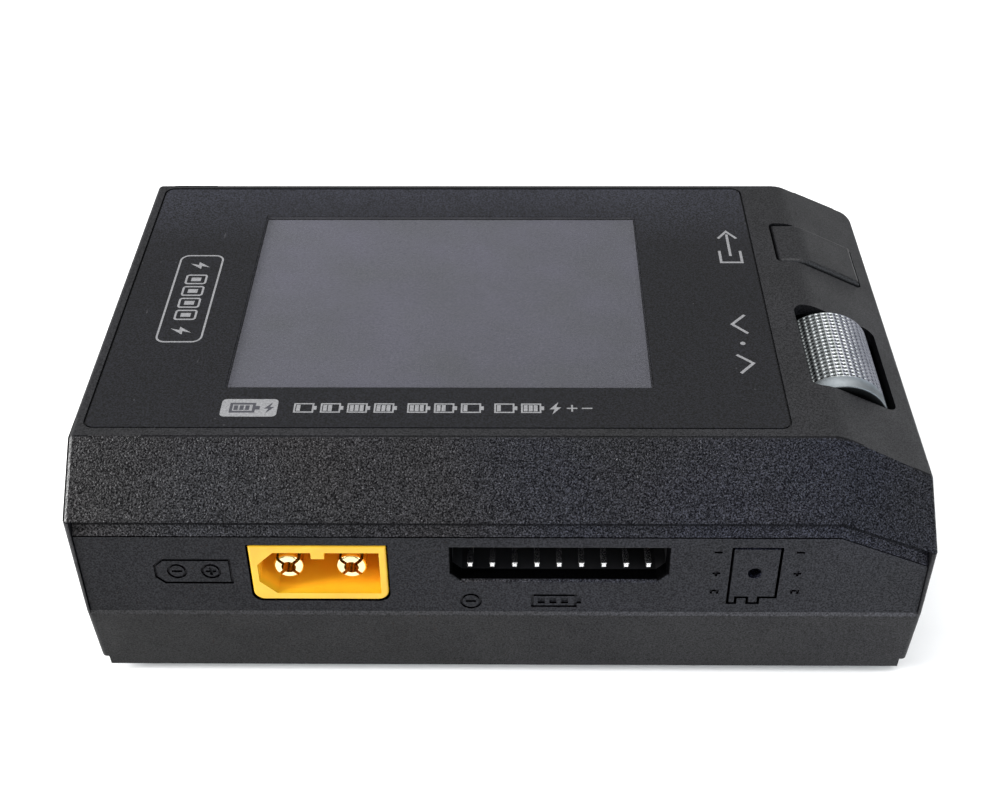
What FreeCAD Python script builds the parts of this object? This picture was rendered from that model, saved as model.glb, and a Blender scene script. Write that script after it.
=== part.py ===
import FreeCAD, Part
import os
import re
import Sketcher

# Driving dimensions in millimetres. X runs to the right, Y from the connector side to the fan side
# and Z up from the table. The origin is under the middle of the case, at the height of the table.
SIZES = {
    # Case: the two shells meet on a belt that falls away beyond the bend, as the top does
    "case_length": 97.7,
    "case_depth": 68.0,
    "case_height": 33.0,
    "wall": 1.5,
    "foot_height": 1.5,
    "floor_top": 3.0,
    "belt_height": 26.2,
    "belt_slope": 0.42,
    "bend_across": 37.8,
    "top_slope": 0.485,
    "top_half": 48.55,
    "top_depth": 54.3,
    "seam": 0.2,
    "edge_round": 0.7,
    "fold_round": 5.0,
    "corner_round": 0.7,
    "lip_drop": 0.55,
    "rear_corner": 2.2,
    # Lower shell
    "base_half": 47.65,
    "low_half": 48.55,
    "notch_height": 1.5,
    "ledge_height": 11.95,
    "front_taper": 1.3,
    "inner_half": 46.6,
    "side_lean": 0.033,
    "band_thickness": 3.1,
    "vent_width": 1.6,
    "vent_pitch": 4.0,
    "vent_low": 8.5,
    "vent_high": 19.5,
    "intake_front": -16.0,
    "intake_rear": 12.0,
    "standoff_radius": 2.6,
    "standoff_bore": 1.0,
    # Front and rear panels, with a bevelled strip under the belt
    "panel_inset": 0.25,
    "panel_thickness": 1.9,
    "strip_low": 23.9,
    "strip_depth": 0.8,
    "strip_rise": 1.5,
    "panel_gap": 0.1,
    "panel_half": 48.15,
    "strip_groove": 0.18,
    "rim_round": 0.25,
    "port_round": 0.45,
    # Pictograms engraved in the front panel
    "engraving": 0.25,
    "mark_stroke": 0.3,
    "sign_ring": 1.15,
    "sign_size": 1.2,
    "sign_rise": 0.3,
    "minus_across": -37.1,
    "plus_across": -33.2,
    "plug_mark_left": -39.7,
    "plug_mark_right": -30.8,
    "plug_mark_low": 16.4,
    "plug_mark_high": 20.3,
    "plug_mark_cut": 1.0,
    "first_pin_across": -3.65,
    "first_pin_drop": 3.4,
    "battery_mark_left": 3.3,
    "battery_mark_right": 8.6,
    "battery_mark_low": 12.7,
    "battery_mark_high": 14.8,
    "battery_cell": 0.8,
    "battery_cell_pitch": 1.35,
    "battery_cell_inset": 0.6,
    "lead_mark_left": 24.3,
    "lead_mark_right": 33.5,
    "lead_mark_size": 0.9,
    # Case screws and their posts
    "post_across": 43.2,
    "post_along": 27.5,
    "post_radius": 3.5,
    "post_top": 12.0,
    "boss_radius": 3.0,
    "screw_radius": 1.25,
    "screw_head": 2.5,
    "screw_sink": 1.3,
    "screw_length": 20.0,
    "pilot_depth": 13.5,
    "foot_across": 34.0,
    "foot_along": 23.0,
    "foot_radius": 4.0,
    "foot_recess": 0.5,
    # Screen panel, its window and the display below it
    "panel_left": -47.03,
    "panel_right": 32.26,
    "panel_front": -25.55,
    "panel_rear": 26.2,
    "film": 0.4,
    "film_gap": 0.24,
    "film_sunk": 0.05,
    "film_round": 1.3,
    "window_left": -32.25,
    "window_right": 17.43,
    "window_front": -18.36,
    "window_rear": 19.04,
    "window_gap": 0.05,
    "glass_rim": 2.0,
    "glass_bottom": 29.8,
    "frame_bottom": 27.4,
    "frame_rim": 1.2,
    # Circuit boards
    "board": 1.6,
    "control_bottom": 26.0,
    "control_top": 27.4,
    "control_left": -45.0,
    "control_right": 31.5,
    "control_half": 24.0,
    "control_screw_left": -41.0,
    "control_screw_right": 28.5,
    "control_screw_along": 21.2,
    "pillar_radius": 2.4,
    "pillar_bore": 0.8,
    "pillar_bore_depth": 3.0,
    "main_bottom": 11.6,
    "main_top": 13.2,
    "main_half": 45.8,
    "main_front": -30.6,
    "main_rear": 31.2,
    "main_step_across": 14.0,
    "main_step_along": 19.0,
    "post_clear_across": 39.3,
    "post_clear_along": 23.6,
    "key_bottom": 14.6,
    "key_top": 15.6,
    "key_left": 33.4,
    "key_right": 46.2,
    "key_front": -22.6,
    "key_rear": 20.4,
    # Power connectors: the output faces forward, the input backward
    "power_width": 15.6,
    "power_height": 8.5,
    "power_depth": 16.0,
    "power_middle": 18.08,
    "power_round": 1.3,
    "power_gap": 0.2,
    "power_rim": 0.85,
    "power_cavity": 9.5,
    "power_chamfer": 1.9,
    "power_key": 1.5,
    "power_key_drop": 0.95,
    "contact_pitch": 7.2,
    "contact_radius": 1.75,
    "contact_bore": 0.85,
    "contact_slit": 0.42,
    "contact_round": 0.4,
    "contact_recess": 1.0,
    "output_across": -20.89,
    "input_across": -27.0,
    # Balance port: nine pins in one row
    "balance_middle": 6.48,
    "balance_width": 24.45,
    "balance_low": 17.05,
    "balance_high": 22.02,
    "balance_chamfer": 1.05,
    "balance_depth": 7.5,
    "header_back": -22.0,
    "pin_pitch": 2.54,
    "pin_width": 0.64,
    "pin_height": 18.88,
    "pin_round": 0.26,
    "pin_tip": -33.2,
    # Signal port: two rows of three pins behind a dust plug
    "signal_across": 28.68,
    "signal_middle": 18.3,
    "signal_width": 5.15,
    "signal_height": 7.47,
    "signal_key": 0.95,
    "signal_header_face": -29.0,
    "signal_tip": -30.6,
    "signal_tail": -23.4,
    "plug_gap": 0.32,
    "plug_depth": 2.3,
    "plug_hole": 0.8,
    # USB receptacle on the rear
    "usb_across": -4.3,
    "usb_width": 9.0,
    "usb_height": 3.3,
    "usb_back": 25.0,
    "usb_face": 33.4,
    "usb_sheet": 0.4,
    "usb_round": 1.1,
    # Scroll wheel on its carrier, which travels down on to a switch
    "wheel_across": 39.9,
    "wheel_axis": 26.65,
    "wheel_radius": 5.8,
    "wheel_front": -17.35,
    "wheel_rear": -2.35,
    "slot_left": 35.8,
    "slot_right": 46.3,
    "slot_front": -17.85,
    "slot_rear": -1.6,
    "slot_round": 1.4,
    "axle_radius": 1.0,
    "axle_fit": 0.04,
    "cheek": 1.0,
    "cheek_gap": 0.3,
    "carrier_bottom": 19.4,
    "carrier_top": 20.2,
    "carrier_half": 3.4,
    "carrier_front": -21.8,
    "carrier_rear": 6.4,
    "guide_radius": 0.8,
    "guide_fit": 0.05,
    "encoder_length": 3.6,
    # Exit button: a bent cap whose stem reaches a switch
    "exit_left": 35.5,
    "exit_right": 46.4,
    "exit_front": 8.35,
    "exit_rear": 17.0,
    "exit_bend": 39.0,
    "exit_skin": 2.6,
    "exit_gap": 0.3,
    "exit_flange": 1.0,
    "exit_round": 0.6,
    "exit_corner": 0.8,
    "exit_fold": 4.0,
    "exit_stem_across": 40.9,
    "stem_half": 1.9,
    # Push switches
    "switch_half": 3.0,
    "switch_top": 18.6,
    "plunger_radius": 1.6,
    "plunger_top": 19.35,
    "plunger_gap": 0.05,
    # Fan behind the rear panel
    "fan_across": 26.0,
    "fan_axis": 14.0,
    "fan_half": 10.0,
    "fan_depth": 8.0,
    "fan_bore": 9.3,
    "fan_hub": 4.2,
    "fan_tip": 8.8,
    "fan_hole": 8.0,
    "fan_screw_length": 7.0,
    "fan_screw_radius": 0.85,
    "fan_screw_head": 1.8,
    "grille_pitch": 2.0,
    "grille_slot": 1.3,
    "shaft_radius": 0.75,
    # Power stage
    "sink_left": -32.0,
    "sink_right": 13.0,
    "sink_front": -8.0,
    "sink_rear": 14.6,
    "sink_bottom": 15.2,
    "sink_base": 17.2,
    "sink_top": 24.6,
    "fin_gap": 2.2,
    "fin_pitch": 3.6,
    "pad_bottom": 15.0,
    "cap_radius": 4.0,
    "cap_top": 24.2,
    "cap_across": -39.4,
    "cap_first": -18.0,
    "cap_pitch": 9.4,
    "coil_half": 6.2,
    "coil_top": 22.0,
    "coil_across": 23.5,
    "coil_first": -11.0,
    "coil_pitch": 17.0,
    "coil_round": 1.5,
    "chip_width": 6.5,
    "chip_depth": 7.0,
    "chip_pitch": 10.5,
    "chip_row_pitch": 11.0,
    "buzzer_across": 12.2,
    "buzzer_along": -14.4,
    "buzzer_radius": 4.0,
    "buzzer_height": 5.0,
    "buzzer_bore": 0.8,
}

ORIENTATIONS = {
    "XY": FreeCAD.Rotation(),
    "XZ": FreeCAD.Rotation(FreeCAD.Vector(1, 0, 0), 90),
    "YZ": FreeCAD.Rotation(FreeCAD.Vector(1, 1, 1), 120),
}
NORMAL_AXIS = {"XY": "z", "XZ": "y", "YZ": "x"}
AXIS_TURNS = {
    "x": FreeCAD.Rotation(FreeCAD.Vector(0, 1, 0), 90),
    "y": FreeCAD.Rotation(FreeCAD.Vector(1, 0, 0), -90),
    "z": FreeCAD.Rotation(),
}
CORNERS = [(-1, -1), (1, -1), (1, 1), (-1, 1)]

doc = FreeCAD.newDocument("balance_charger")
sheet = doc.addObject("Spreadsheet::Sheet", "Sizes")
nodes = {}


# ---------------------------------------------------------------- helpers


def fill_sheet():
    """Write every driving dimension to the spreadsheet under its own alias."""
    for row, (alias, size) in enumerate(SIZES.items(), start=1):
        sheet.set(f"A{row}", alias)
        sheet.set(f"B{row}", str(size))
        sheet.setAlias(f"B{row}", alias)
    doc.recompute()


def bound(expression):
    """Name the sheet in front of every alias in an expression."""

    def name_alias(match):
        word = match.group()
        return f"Sizes.{word}" if word in SIZES else word

    return re.sub(r"[a-z_]{3,}", name_alias, str(expression))


def number(expression):
    """The present value of an expression."""
    return float(sheet.evalExpression(bound(expression)))


def minus(expression):
    return f"-({expression})"


def node(label, shape_object):
    """Record an object as a sub-part under its own label."""
    shape_object.Label = label
    nodes[label] = shape_object
    return shape_object


def draw_outline(sketch, points):
    """A closed outline of straight lines, each corner held by its two distances from the origin."""
    places = [FreeCAD.Vector(number(u), number(v), 0) for u, v in points]
    count = len(places)
    first = sketch.GeometryCount
    for index, place in enumerate(places):
        following = places[(index + 1) % count]
        sketch.addGeometry(Part.LineSegment(place, following), False)
    for index in range(count):
        joined = first + (index + 1) % count
        sketch.addConstraint(Sketcher.Constraint("Coincident", first + index, 2, joined, 1))
    for index, (u, v) in enumerate(points):
        place = places[index]
        for kind, expression, size in (("DistanceX", u, place.x), ("DistanceY", v, place.y)):
            held = sketch.addConstraint(Sketcher.Constraint(kind, -1, 1, first + index, 1, size))
            sketch.setExpression(f"Constraints[{held}]", bound(expression))


def draw_circle(sketch, across, up, radius):
    """A circle whose centre and radius follow the sheet."""
    centre = FreeCAD.Vector(number(across), number(up), 0)
    ring = sketch.addGeometry(Part.Circle(centre, FreeCAD.Vector(0, 0, 1), number(radius)), False)
    sizes = (("DistanceX", across, centre.x), ("DistanceY", up, centre.y))
    for kind, expression, size in sizes:
        held = sketch.addConstraint(Sketcher.Constraint(kind, -1, 1, ring, 3, size))
        sketch.setExpression(f"Constraints[{held}]", bound(expression))
    held = sketch.addConstraint(Sketcher.Constraint("Radius", ring, number(radius)))
    sketch.setExpression(f"Constraints[{held}]", bound(radius))


def prism(name, plane, points, start, end):
    """An outline drawn on one plane and extruded from start to end along the third axis."""
    axis = NORMAL_AXIS[plane]
    sketch = doc.addObject("Sketcher::SketchObject", f"{name}_outline")
    sketch.Placement = FreeCAD.Placement(FreeCAD.Vector(), ORIENTATIONS[plane])
    draw_outline(sketch, points)
    foot = end if plane == "XZ" else start
    sketch.setExpression(f"Placement.Base.{axis}", bound(foot))
    solid = doc.addObject("Part::Extrusion", name)
    solid.Base = sketch
    solid.DirMode = "Normal"
    solid.Solid = True
    solid.setExpression("LengthFwd", bound(f"({end}) - ({start})"))
    return solid


def bent_prism(name, points):
    """A YZ outline that runs level to the bend and then falls with the belt."""
    sketch = doc.addObject("Sketcher::SketchObject", f"{name}_outline")
    sketch.Placement = FreeCAD.Placement(FreeCAD.Vector(), ORIENTATIONS["YZ"])
    draw_outline(sketch, points)
    sketch.setExpression("Placement.Base.x", bound("bend_across"))
    level = doc.addObject("Part::Extrusion", f"{name}_level")
    level.Base = sketch
    level.DirMode = "Normal"
    level.Solid = True
    level.setExpression("LengthRev", bound("case_length"))
    falling = doc.addObject("Part::Extrusion", f"{name}_falling")
    falling.Base = sketch
    falling.DirMode = "Custom"
    falling.Solid = True
    falling.setExpression("Dir.x", "1")
    falling.setExpression("Dir.y", "0")
    falling.setExpression("Dir.z", bound("-belt_slope"))
    falling.setExpression("LengthFwd", bound("case_length / 4"))
    return fuse(name, [level, falling])


def box(name, xs, ys, zs):
    """A box between pairs of limits along X, Y and Z."""
    solid = doc.addObject("Part::Box", name)
    limits = (("Length", "x", xs), ("Width", "y", ys), ("Height", "z", zs))
    for size, axis, (low, high) in limits:
        solid.setExpression(size, bound(f"({high}) - ({low})"))
        solid.setExpression(f"Placement.Base.{axis}", bound(low))
    return solid


def place(solid, axis, centre):
    """Turn a round solid along an axis and put the middle of its foot at the centre."""
    solid.Placement = FreeCAD.Placement(FreeCAD.Vector(), AXIS_TURNS[axis])
    for letter, expression in zip("xyz", centre):
        solid.setExpression(f"Placement.Base.{letter}", bound(expression))


def cylinder(name, axis, centre, radius, length):
    """A cylinder that starts at its centre point and runs along an axis."""
    solid = doc.addObject("Part::Cylinder", name)
    solid.setExpression("Radius", bound(radius))
    solid.setExpression("Height", bound(length))
    place(solid, axis, centre)
    return solid


def cone(name, axis, centre, radius, far_radius, length):
    """A cone frustum that starts at its centre point and runs along an axis."""
    solid = doc.addObject("Part::Cone", name)
    solid.setExpression("Radius1", bound(radius))
    solid.setExpression("Radius2", bound(far_radius))
    solid.setExpression("Height", bound(length))
    place(solid, axis, centre)
    return solid


def fuse(name, solids):
    joined = doc.addObject("Part::MultiFuse", name)
    joined.Shapes = solids
    return joined


def common(name, solids):
    shared = doc.addObject("Part::MultiCommon", name)
    shared.Shapes = solids
    return shared


def group(name, solids):
    """Several separate solids kept as one sub-part."""
    together = doc.addObject("Part::Compound", name)
    together.Links = solids
    return together


def cut(name, base, tools):
    """Take one or more solids away from a base."""
    result = doc.addObject("Part::Cut", name)
    result.Base = base
    result.Tool = tools[0] if len(tools) == 1 else fuse(f"{name}_tools", tools)
    return result


def edges_where(shape, wanted):
    """The numbers of the edges whose two ends pass a test; a circle's ends are one point."""
    found = []
    for index, edge in enumerate(shape.Edges, start=1):
        ends = [vertex.Point for vertex in edge.Vertexes]
        if wanted(ends[0], ends[-1]):
            found.append(index)
    return found


def runs_along(axis):
    """A test for straight edges parallel to one axis."""

    def parallel(start, end):
        step = end - start
        return abs(getattr(step, axis)) > 0.999 * step.Length

    return parallel


def rounded_each(name, base, rules):
    """Round a solid's edges, each by the radius of the first test that it passes."""
    doc.recompute()
    sizes = {}
    for radius, wanted in reversed(rules):
        size = number(radius)
        sizes.update({index: size for index in edges_where(base.Shape, wanted)})
    soft = doc.addObject("Part::Fillet", name)
    soft.Base = base
    soft.Edges = [(index, size, size) for index, size in sizes.items()]
    return soft


def rounded(name, base, radius, wanted):
    """Round the edges of a solid that pass a test."""
    return rounded_each(name, base, [(radius, wanted)])


def new_body(label):
    return node(label, doc.addObject("PartDesign::Body", label))


def sketch_on(body, name, plane, height):
    """A sketch on a body's own origin plane, moved to a height along the third axis."""
    sketch = body.newObject("Sketcher::SketchObject", name)
    features = body.Origin.OriginFeatures
    support = next(feature for feature in features if feature.Role == f"{plane}_Plane")
    sketch.AttachmentSupport = [(support, "")]
    sketch.MapMode = "FlatFace"
    offset = minus(height) if plane == "XZ" else height
    sketch.setExpression("AttachmentOffset.Base.z", bound(offset))
    return sketch


def pad(body, name, plane, start, end, outlines=(), circles=()):
    """Add material between two heights."""
    sketch = sketch_on(body, f"{name}_sketch", plane, end if plane == "XZ" else start)
    return finish_feature(body, "PartDesign::Pad", name, sketch, start, end, outlines, circles)


def pocket(body, name, plane, start, end, outlines=(), circles=()):
    """Remove material between two heights, and make sure that some was removed."""
    doc.recompute()
    before = body.Shape.Volume
    sketch = sketch_on(body, f"{name}_sketch", plane, start if plane == "XZ" else end)
    feature = finish_feature(
        body, "PartDesign::Pocket", name, sketch, start, end, outlines, circles
    )
    doc.recompute()
    if body.Shape.Volume >= before:
        raise RuntimeError(f"{name} removed nothing")
    return feature


def finish_feature(body, kind, name, sketch, start, end, outlines, circles):
    for points in outlines:
        draw_outline(sketch, points)
    for across, up, radius in circles:
        draw_circle(sketch, across, up, radius)
    feature = body.newObject(kind, name)
    feature.Profile = sketch
    feature.setExpression("Length", bound(f"({end}) - ({start})"))
    return feature


def round_body(body, name, radius, wanted):
    """Round the edges of a body that pass a test."""
    doc.recompute()
    base = body.Tip
    names = [f"Edge{index}" for index in edges_where(base.Shape, wanted)]
    feature = body.newObject("PartDesign::Fillet", name)
    feature.Base = (base, names)
    feature.setExpression("Radius", bound(radius))
    return feature


def rectangle(left, right, low, high):
    return [(left, low), (right, low), (right, high), (left, high)]


def fallen(height, across):
    """What is left of a belt height at a place beyond the bend."""
    return f"{height} - ({across} - bend_across) * belt_slope"


# ---------------------------------------------------------------- outlines


def cover_outline(inset, left_low, right_low):
    """The upper shell seen from the front, down to a height at each end; an inset gives its inside."""
    return [
        (f"-case_length / 2 + {inset}", left_low),
        (f"-top_half + {inset}", f"case_height - {inset}"),
        (f"bend_across - {inset} * 0.2", f"case_height - {inset}"),
        (
            f"top_half - {inset}",
            f"case_height - {inset} * 1.1 - (top_half - {inset} - bend_across) * top_slope",
        ),
        (f"case_length / 2 - {inset}", right_low),
    ]


def roof_outline(inset):
    """The upper shell seen from the side, with its two long bevels."""
    run = "(case_depth - top_depth) / 2 / (case_height - belt_height)"
    edge = f"case_depth / 2 - {inset} * 1.48"
    shoulder = f"{edge} - (case_height - {inset} - belt_height) * {run}"
    return [
        (minus(edge), "0"),
        (minus(edge), "belt_height"),
        (minus(shoulder), f"case_height - {inset}"),
        (shoulder, f"case_height - {inset}"),
        (edge, "belt_height"),
        (edge, "0"),
    ]


def cavity_outline(low, narrower="0"):
    """The inside of the lower shell above a height, a little wider towards the top."""
    near = f"inner_half - {narrower} + ({low} - floor_top) * side_lean"
    far = f"inner_half - {narrower} + (case_height - floor_top) * side_lean"
    return [(minus(near), low), (near, low), (far, "case_height"), (minus(far), "case_height")]


def panel_profile(side):
    """The section of a front (-1) or rear (1) panel, with a bevelled strip above a fine groove."""
    face = f"{side} * (case_depth / 2 - panel_inset)"
    strip = f"{side} * (case_depth / 2 - panel_inset - strip_depth)"
    groove = f"{side} * (case_depth / 2 - panel_inset - strip_groove)"
    back = f"{side} * (case_depth / 2 - panel_inset - panel_thickness)"
    return [
        (face, "-floor_top"),
        (face, "strip_low - strip_groove"),
        (groove, "strip_low - strip_groove"),
        (groove, "strip_low"),
        (face, "strip_low"),
        (strip, "strip_low + strip_rise"),
        (strip, "belt_height"),
        (back, "belt_height"),
        (back, "-floor_top"),
    ]


def balance_outline():
    """The balance opening, with its two lower corners cut off."""
    left = "balance_middle - balance_width / 2"
    right = "balance_middle + balance_width / 2"
    return [
        (f"{left} + balance_chamfer", "balance_low"),
        (f"{right} - balance_chamfer", "balance_low"),
        (right, "balance_low + balance_chamfer"),
        (right, "balance_high"),
        (left, "balance_high"),
        (left, "balance_low + balance_chamfer"),
    ]


def signal_outline(gap):
    """The signal port's opening with its two keys below; a gap makes it wider all round."""
    left = f"signal_across - signal_width / 2 - {gap}"
    right = f"signal_across + signal_width / 2 + {gap}"
    low = f"signal_middle - signal_height / 2 - {gap}"
    high = f"signal_middle + signal_height / 2 + {gap}"
    key_low = f"{low} - signal_key"
    key_right = f"signal_across + signal_key * 0.65 + {gap}"
    key_left = f"signal_across - signal_key * 0.35 - {gap}"
    corner_right = f"{left} + signal_key * 0.6 + 2 * {gap}"
    return [
        (left, high),
        (right, high),
        (right, low),
        (key_right, low),
        (key_right, key_low),
        (key_left, key_low),
        (key_left, low),
        (corner_right, low),
        (corner_right, key_low),
        (left, key_low),
    ]


def power_cavity_outline(across, side):
    """The inside of a power connector: two corners cut off and a key at the top middle."""
    half = "(power_width / 2 - power_rim)"
    cut_side = f"{across} + {side} * {half}"
    cut_start = f"{across} + {side} * ({half} - power_chamfer)"
    straight = f"{across} - {side} * {half}"
    key_near = f"{across} + {side} * power_key / 2"
    key_far = f"{across} - {side} * power_key / 2"
    low = "power_middle - power_height / 2 + power_rim * 1.2"
    high = "power_middle + power_height / 2 - power_rim * 1.2"
    return [
        (cut_start, low),
        (cut_side, f"{low} + power_chamfer"),
        (cut_side, f"{high} - power_chamfer"),
        (cut_start, high),
        (key_near, high),
        (key_near, f"{high} - power_key_drop"),
        (key_far, f"{high} - power_key_drop"),
        (key_far, high),
        (straight, high),
        (straight, low),
    ]


# ---------------------------------------------------------------- case


def make_top_cover():
    """Upper shell: bevelled roof, screen recess, wheel slot, button opening and four bosses."""
    front = "-case_depth / 2"
    rear = "case_depth / 2"
    belt_end = fallen("belt_height", "case_length / 2")
    outline = cover_outline("0", "belt_height", belt_end) + [("bend_across", "belt_height")]
    ends = prism("cover_ends", "XZ", outline, front, rear)
    roof = bent_prism("cover_roof", roof_outline("0"))
    outside = common("cover_outside", [ends, roof])
    belt = number("belt_height")

    def above_belt(start, end):
        top = max(start.z, end.z)
        falls = number("bend_across") + 1 < min(start.x, end.x)
        return top > belt + 1 or (falls and top > belt - 1)

    def at_fold(start, end):
        fold = number("bend_across")
        on_fold = abs(start.x - fold) < 0.01 and abs(end.x - fold) < 0.01
        return on_fold and max(start.z, end.z) > belt + 1

    def at_rear_corner(start, end):
        reach = number("top_half") - 0.5
        return min(start.x, end.x) > reach and min(start.y, end.y) > 1 and above_belt(start, end)

    rules = [("fold_round", at_fold), ("rear_corner", at_rear_corner), ("edge_round", above_belt)]
    soft = rounded_each("cover_soft", outside, rules)
    inner_outline = cover_outline("wall", "floor_top", "floor_top")
    inner_ends = prism("cover_inner_ends", "XZ", inner_outline, front, rear)
    inner_roof = bent_prism("cover_inner_roof", roof_outline("wall"))
    inside = common("cover_inside", [inner_ends, inner_roof])
    shell = cut("cover_shell", soft, [inside])
    posts = []
    holes = []
    for index, (side, end) in enumerate(CORNERS):
        centre = (f"{side} * post_across", f"{end} * post_along", "post_top")
        posts.append(cylinder(f"cover_boss_{index}", "z", centre, "boss_radius", "case_height"))
        holes.append(
            cylinder(f"cover_pilot_{index}", "z", centre, "screw_radius", "pilot_depth")
        )
        column = f"control_screw_{'left' if side < 0 else 'right'}"
        pillar_centre = (column, f"{end} * control_screw_along", "control_top")
        posts.append(
            cylinder(f"cover_pillar_{index}", "z", pillar_centre, "pillar_radius", "wall * 3")
        )
        holes.append(
            cylinder(f"cover_thread_{index}", "z", pillar_centre, "pillar_bore", "pillar_bore_depth")
        )
    inner_posts = common("cover_posts", [fuse("cover_posts_all", posts), outside])
    recess = box(
        "cover_recess",
        ("panel_left - film_gap", "panel_right + film_gap"),
        ("panel_front - film_gap", "panel_rear + film_gap"),
        ("case_height - film", "case_height + 1"),
    )
    soft_recess = rounded("cover_recess_soft", recess, "film_round", runs_along("z"))
    window = box(
        "cover_window",
        ("window_left - window_gap", "window_right + window_gap"),
        ("window_front - window_gap", "window_rear + window_gap"),
        ("floor_top", "case_height"),
    )
    slot = box(
        "cover_slot", ("slot_left", "slot_right"), ("slot_front", "slot_rear"),
        ("post_top", "case_height + 1"),
    )
    soft_slot = rounded("cover_slot_soft", slot, "slot_round", runs_along("z"))
    opening = box(
        "cover_exit",
        ("exit_left - exit_gap", "exit_right + exit_gap"),
        ("exit_front - exit_gap", "exit_rear + exit_gap"),
        ("post_top", "case_height + 1"),
    )
    soft_opening = rounded("cover_exit_soft", opening, "exit_corner", runs_along("z"))
    solid = fuse("cover_solid", [shell, inner_posts])
    node("top_cover", cut("top_cover", solid, [soft_recess, window, soft_slot, soft_opening] + holes))


def make_bottom_shell():
    """Lower shell: floor, side walls with vents, lower front band, posts and standoffs."""
    front = "-case_depth / 2"
    rear = "case_depth / 2"
    step = "foot_height + notch_height"
    seam_height = "belt_height - seam"
    outline = [
        ("-base_half", "foot_height"),
        ("base_half", "foot_height"),
        ("base_half", step),
        ("low_half", step),
        ("case_length / 2", fallen(seam_height, "case_length / 2")),
        ("bend_across", seam_height),
        ("-case_length / 2", seam_height),
        ("-low_half", step),
        ("-base_half", step),
    ]
    ends = prism("shell_ends", "XZ", outline, front, rear)
    profile = [
        (f"{front} + front_taper", "foot_height"),
        (rear, "foot_height"),
        (rear, "case_height"),
        (front, "case_height"),
        (front, "ledge_height"),
    ]
    sides = prism("shell_sides", "YZ", profile, "-case_length", "case_length")
    blank = common("shell_blank", [ends, sides])

    def at_corner(start, end):
        beyond = number("base_half + 0.5")
        return min(abs(start.x), abs(end.x)) > beyond and abs(end.z - start.z) > 2

    outside = rounded("shell_outside", blank, "corner_round", at_corner)
    inside_front = f"{front} + band_thickness"
    cavity = prism("shell_cavity", "XZ", cavity_outline("floor_top"), inside_front, f"{rear} + 1")
    mouth_outline = cavity_outline("ledge_height")
    mouth = prism("shell_mouth", "XZ", mouth_outline, f"{front} - 1", f"{inside_front} + 1")
    panel_back = f"{front} + panel_inset + panel_thickness + panel_gap"
    rebate = box("shell_rebate", ("-panel_half", "panel_half"), (f"{front} - 1", panel_back),
                 ("ledge_height", "case_height"))
    lip_outline = [
        (f"{front} - panel_inset", "ledge_height - lip_drop * 2"),
        (f"{front} + panel_inset", "ledge_height"),
        (f"{front} - panel_inset", "ledge_height"),
    ]
    lip = prism("shell_lip", "YZ", lip_outline, "-panel_half", "panel_half")
    tub = cut("shell_tub", outside, [cavity, mouth, rebate, lip])
    posts = []
    holes = []
    for index, (side, end) in enumerate(CORNERS):
        across = f"{side} * post_across"
        along = f"{end} * post_along"
        rise = "post_top - foot_height - 1"
        posts.append(
            cylinder(f"shell_post_{index}", "z", (across, along, "foot_height + 1"),
                     "post_radius", rise)
        )
        below = (across, along, "foot_height - 1")
        holes.append(
            cylinder(f"shell_hole_{index}", "z", below, "screw_radius + 0.2", "post_top + 2")
        )
        sink = (across, along, "foot_height")
        holes.append(
            cone(f"shell_sink_{index}", "z", sink, "screw_head + 0.2", "screw_radius + 0.2",
                 "screw_sink + 0.1")
        )
        foot = (f"{side} * foot_across", f"{end} * foot_along", "foot_height - 1")
        holes.append(
            cylinder(f"shell_foot_{index}", "z", foot, "foot_radius + 0.1", "1 + foot_recess")
        )
    for index, (across, along) in enumerate(board_screw_places()):
        foot = (across, along, "floor_top - 0.5")
        posts.append(
            cylinder(f"shell_standoff_{index}", "z", foot, "standoff_radius",
                     "main_bottom - floor_top + 0.5")
        )
        bore_foot = (across, along, "floor_top + 2")
        holes.append(
            cylinder(f"shell_thread_{index}", "z", bore_foot, "standoff_bore", "main_bottom")
        )
    slots = []
    for index in range(-3, 4):
        middle = f"{index} * vent_pitch"
        slots.append(
            box(f"shell_vent_{index + 3}", ("-case_length", "case_length"),
                (f"{middle} - vent_width / 2", f"{middle} + vent_width / 2"),
                ("vent_low", "vent_high"))
        )
        slots.append(
            box(f"shell_intake_{index + 3}", (f"{middle} - vent_width / 2", f"{middle} + vent_width / 2"),
                ("intake_front", "intake_rear"), ("foot_height - 1", "floor_top + 1"))
        )
    slot_group = fuse("shell_slots", slots)
    solid = fuse("shell_solid", [tub] + posts)
    node("bottom_shell", cut("bottom_shell", solid, holes + [slot_group]))


def make_panel(name, side, outline):
    """A front (-1) or rear (1) panel set between the side walls, before its openings."""
    blank = prism(f"{name}_blank", "XZ", outline, "-case_depth", "case_depth")
    return common(f"{name}_plate", [blank, bent_prism(f"{name}_bend", panel_profile(side))])


def through_panel(name, side, points):
    """A cutter that passes through a panel."""
    if side < 0:
        return prism(name, "XZ", points, "-case_depth", "-case_depth / 4")
    return prism(name, "XZ", points, "case_depth / 4", "case_depth")


def power_opening(name, across, side):
    """The rounded opening that a power connector fills."""
    edge = "power_height / 2 + power_gap"
    half = "(power_width / 2 + power_gap)"
    ys = ("-case_depth", "-case_depth / 4") if side < 0 else ("case_depth / 4", "case_depth")
    hole = box(name, (f"{across} - {half}", f"{across} + {half}"), ys,
               (f"power_middle - ({edge})", f"power_middle + ({edge})"))
    return rounded(f"{name}_soft", hole, "power_round", lower_corners("y", "power_middle"))


def lower_corners(axis, middle):
    """A test for the edges along an axis that lie below a height."""
    along = runs_along(axis)
    height = number(middle)

    def wanted(start, end):
        return along(start, end) and start.z < height

    return wanted


def engraved(name, plane_points):
    """A shallow mark in the front panel's face."""
    face = "-case_depth / 2 + panel_inset"
    return prism(name, "XZ", plane_points, f"{face} - 1", f"{face} + engraving")


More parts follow.
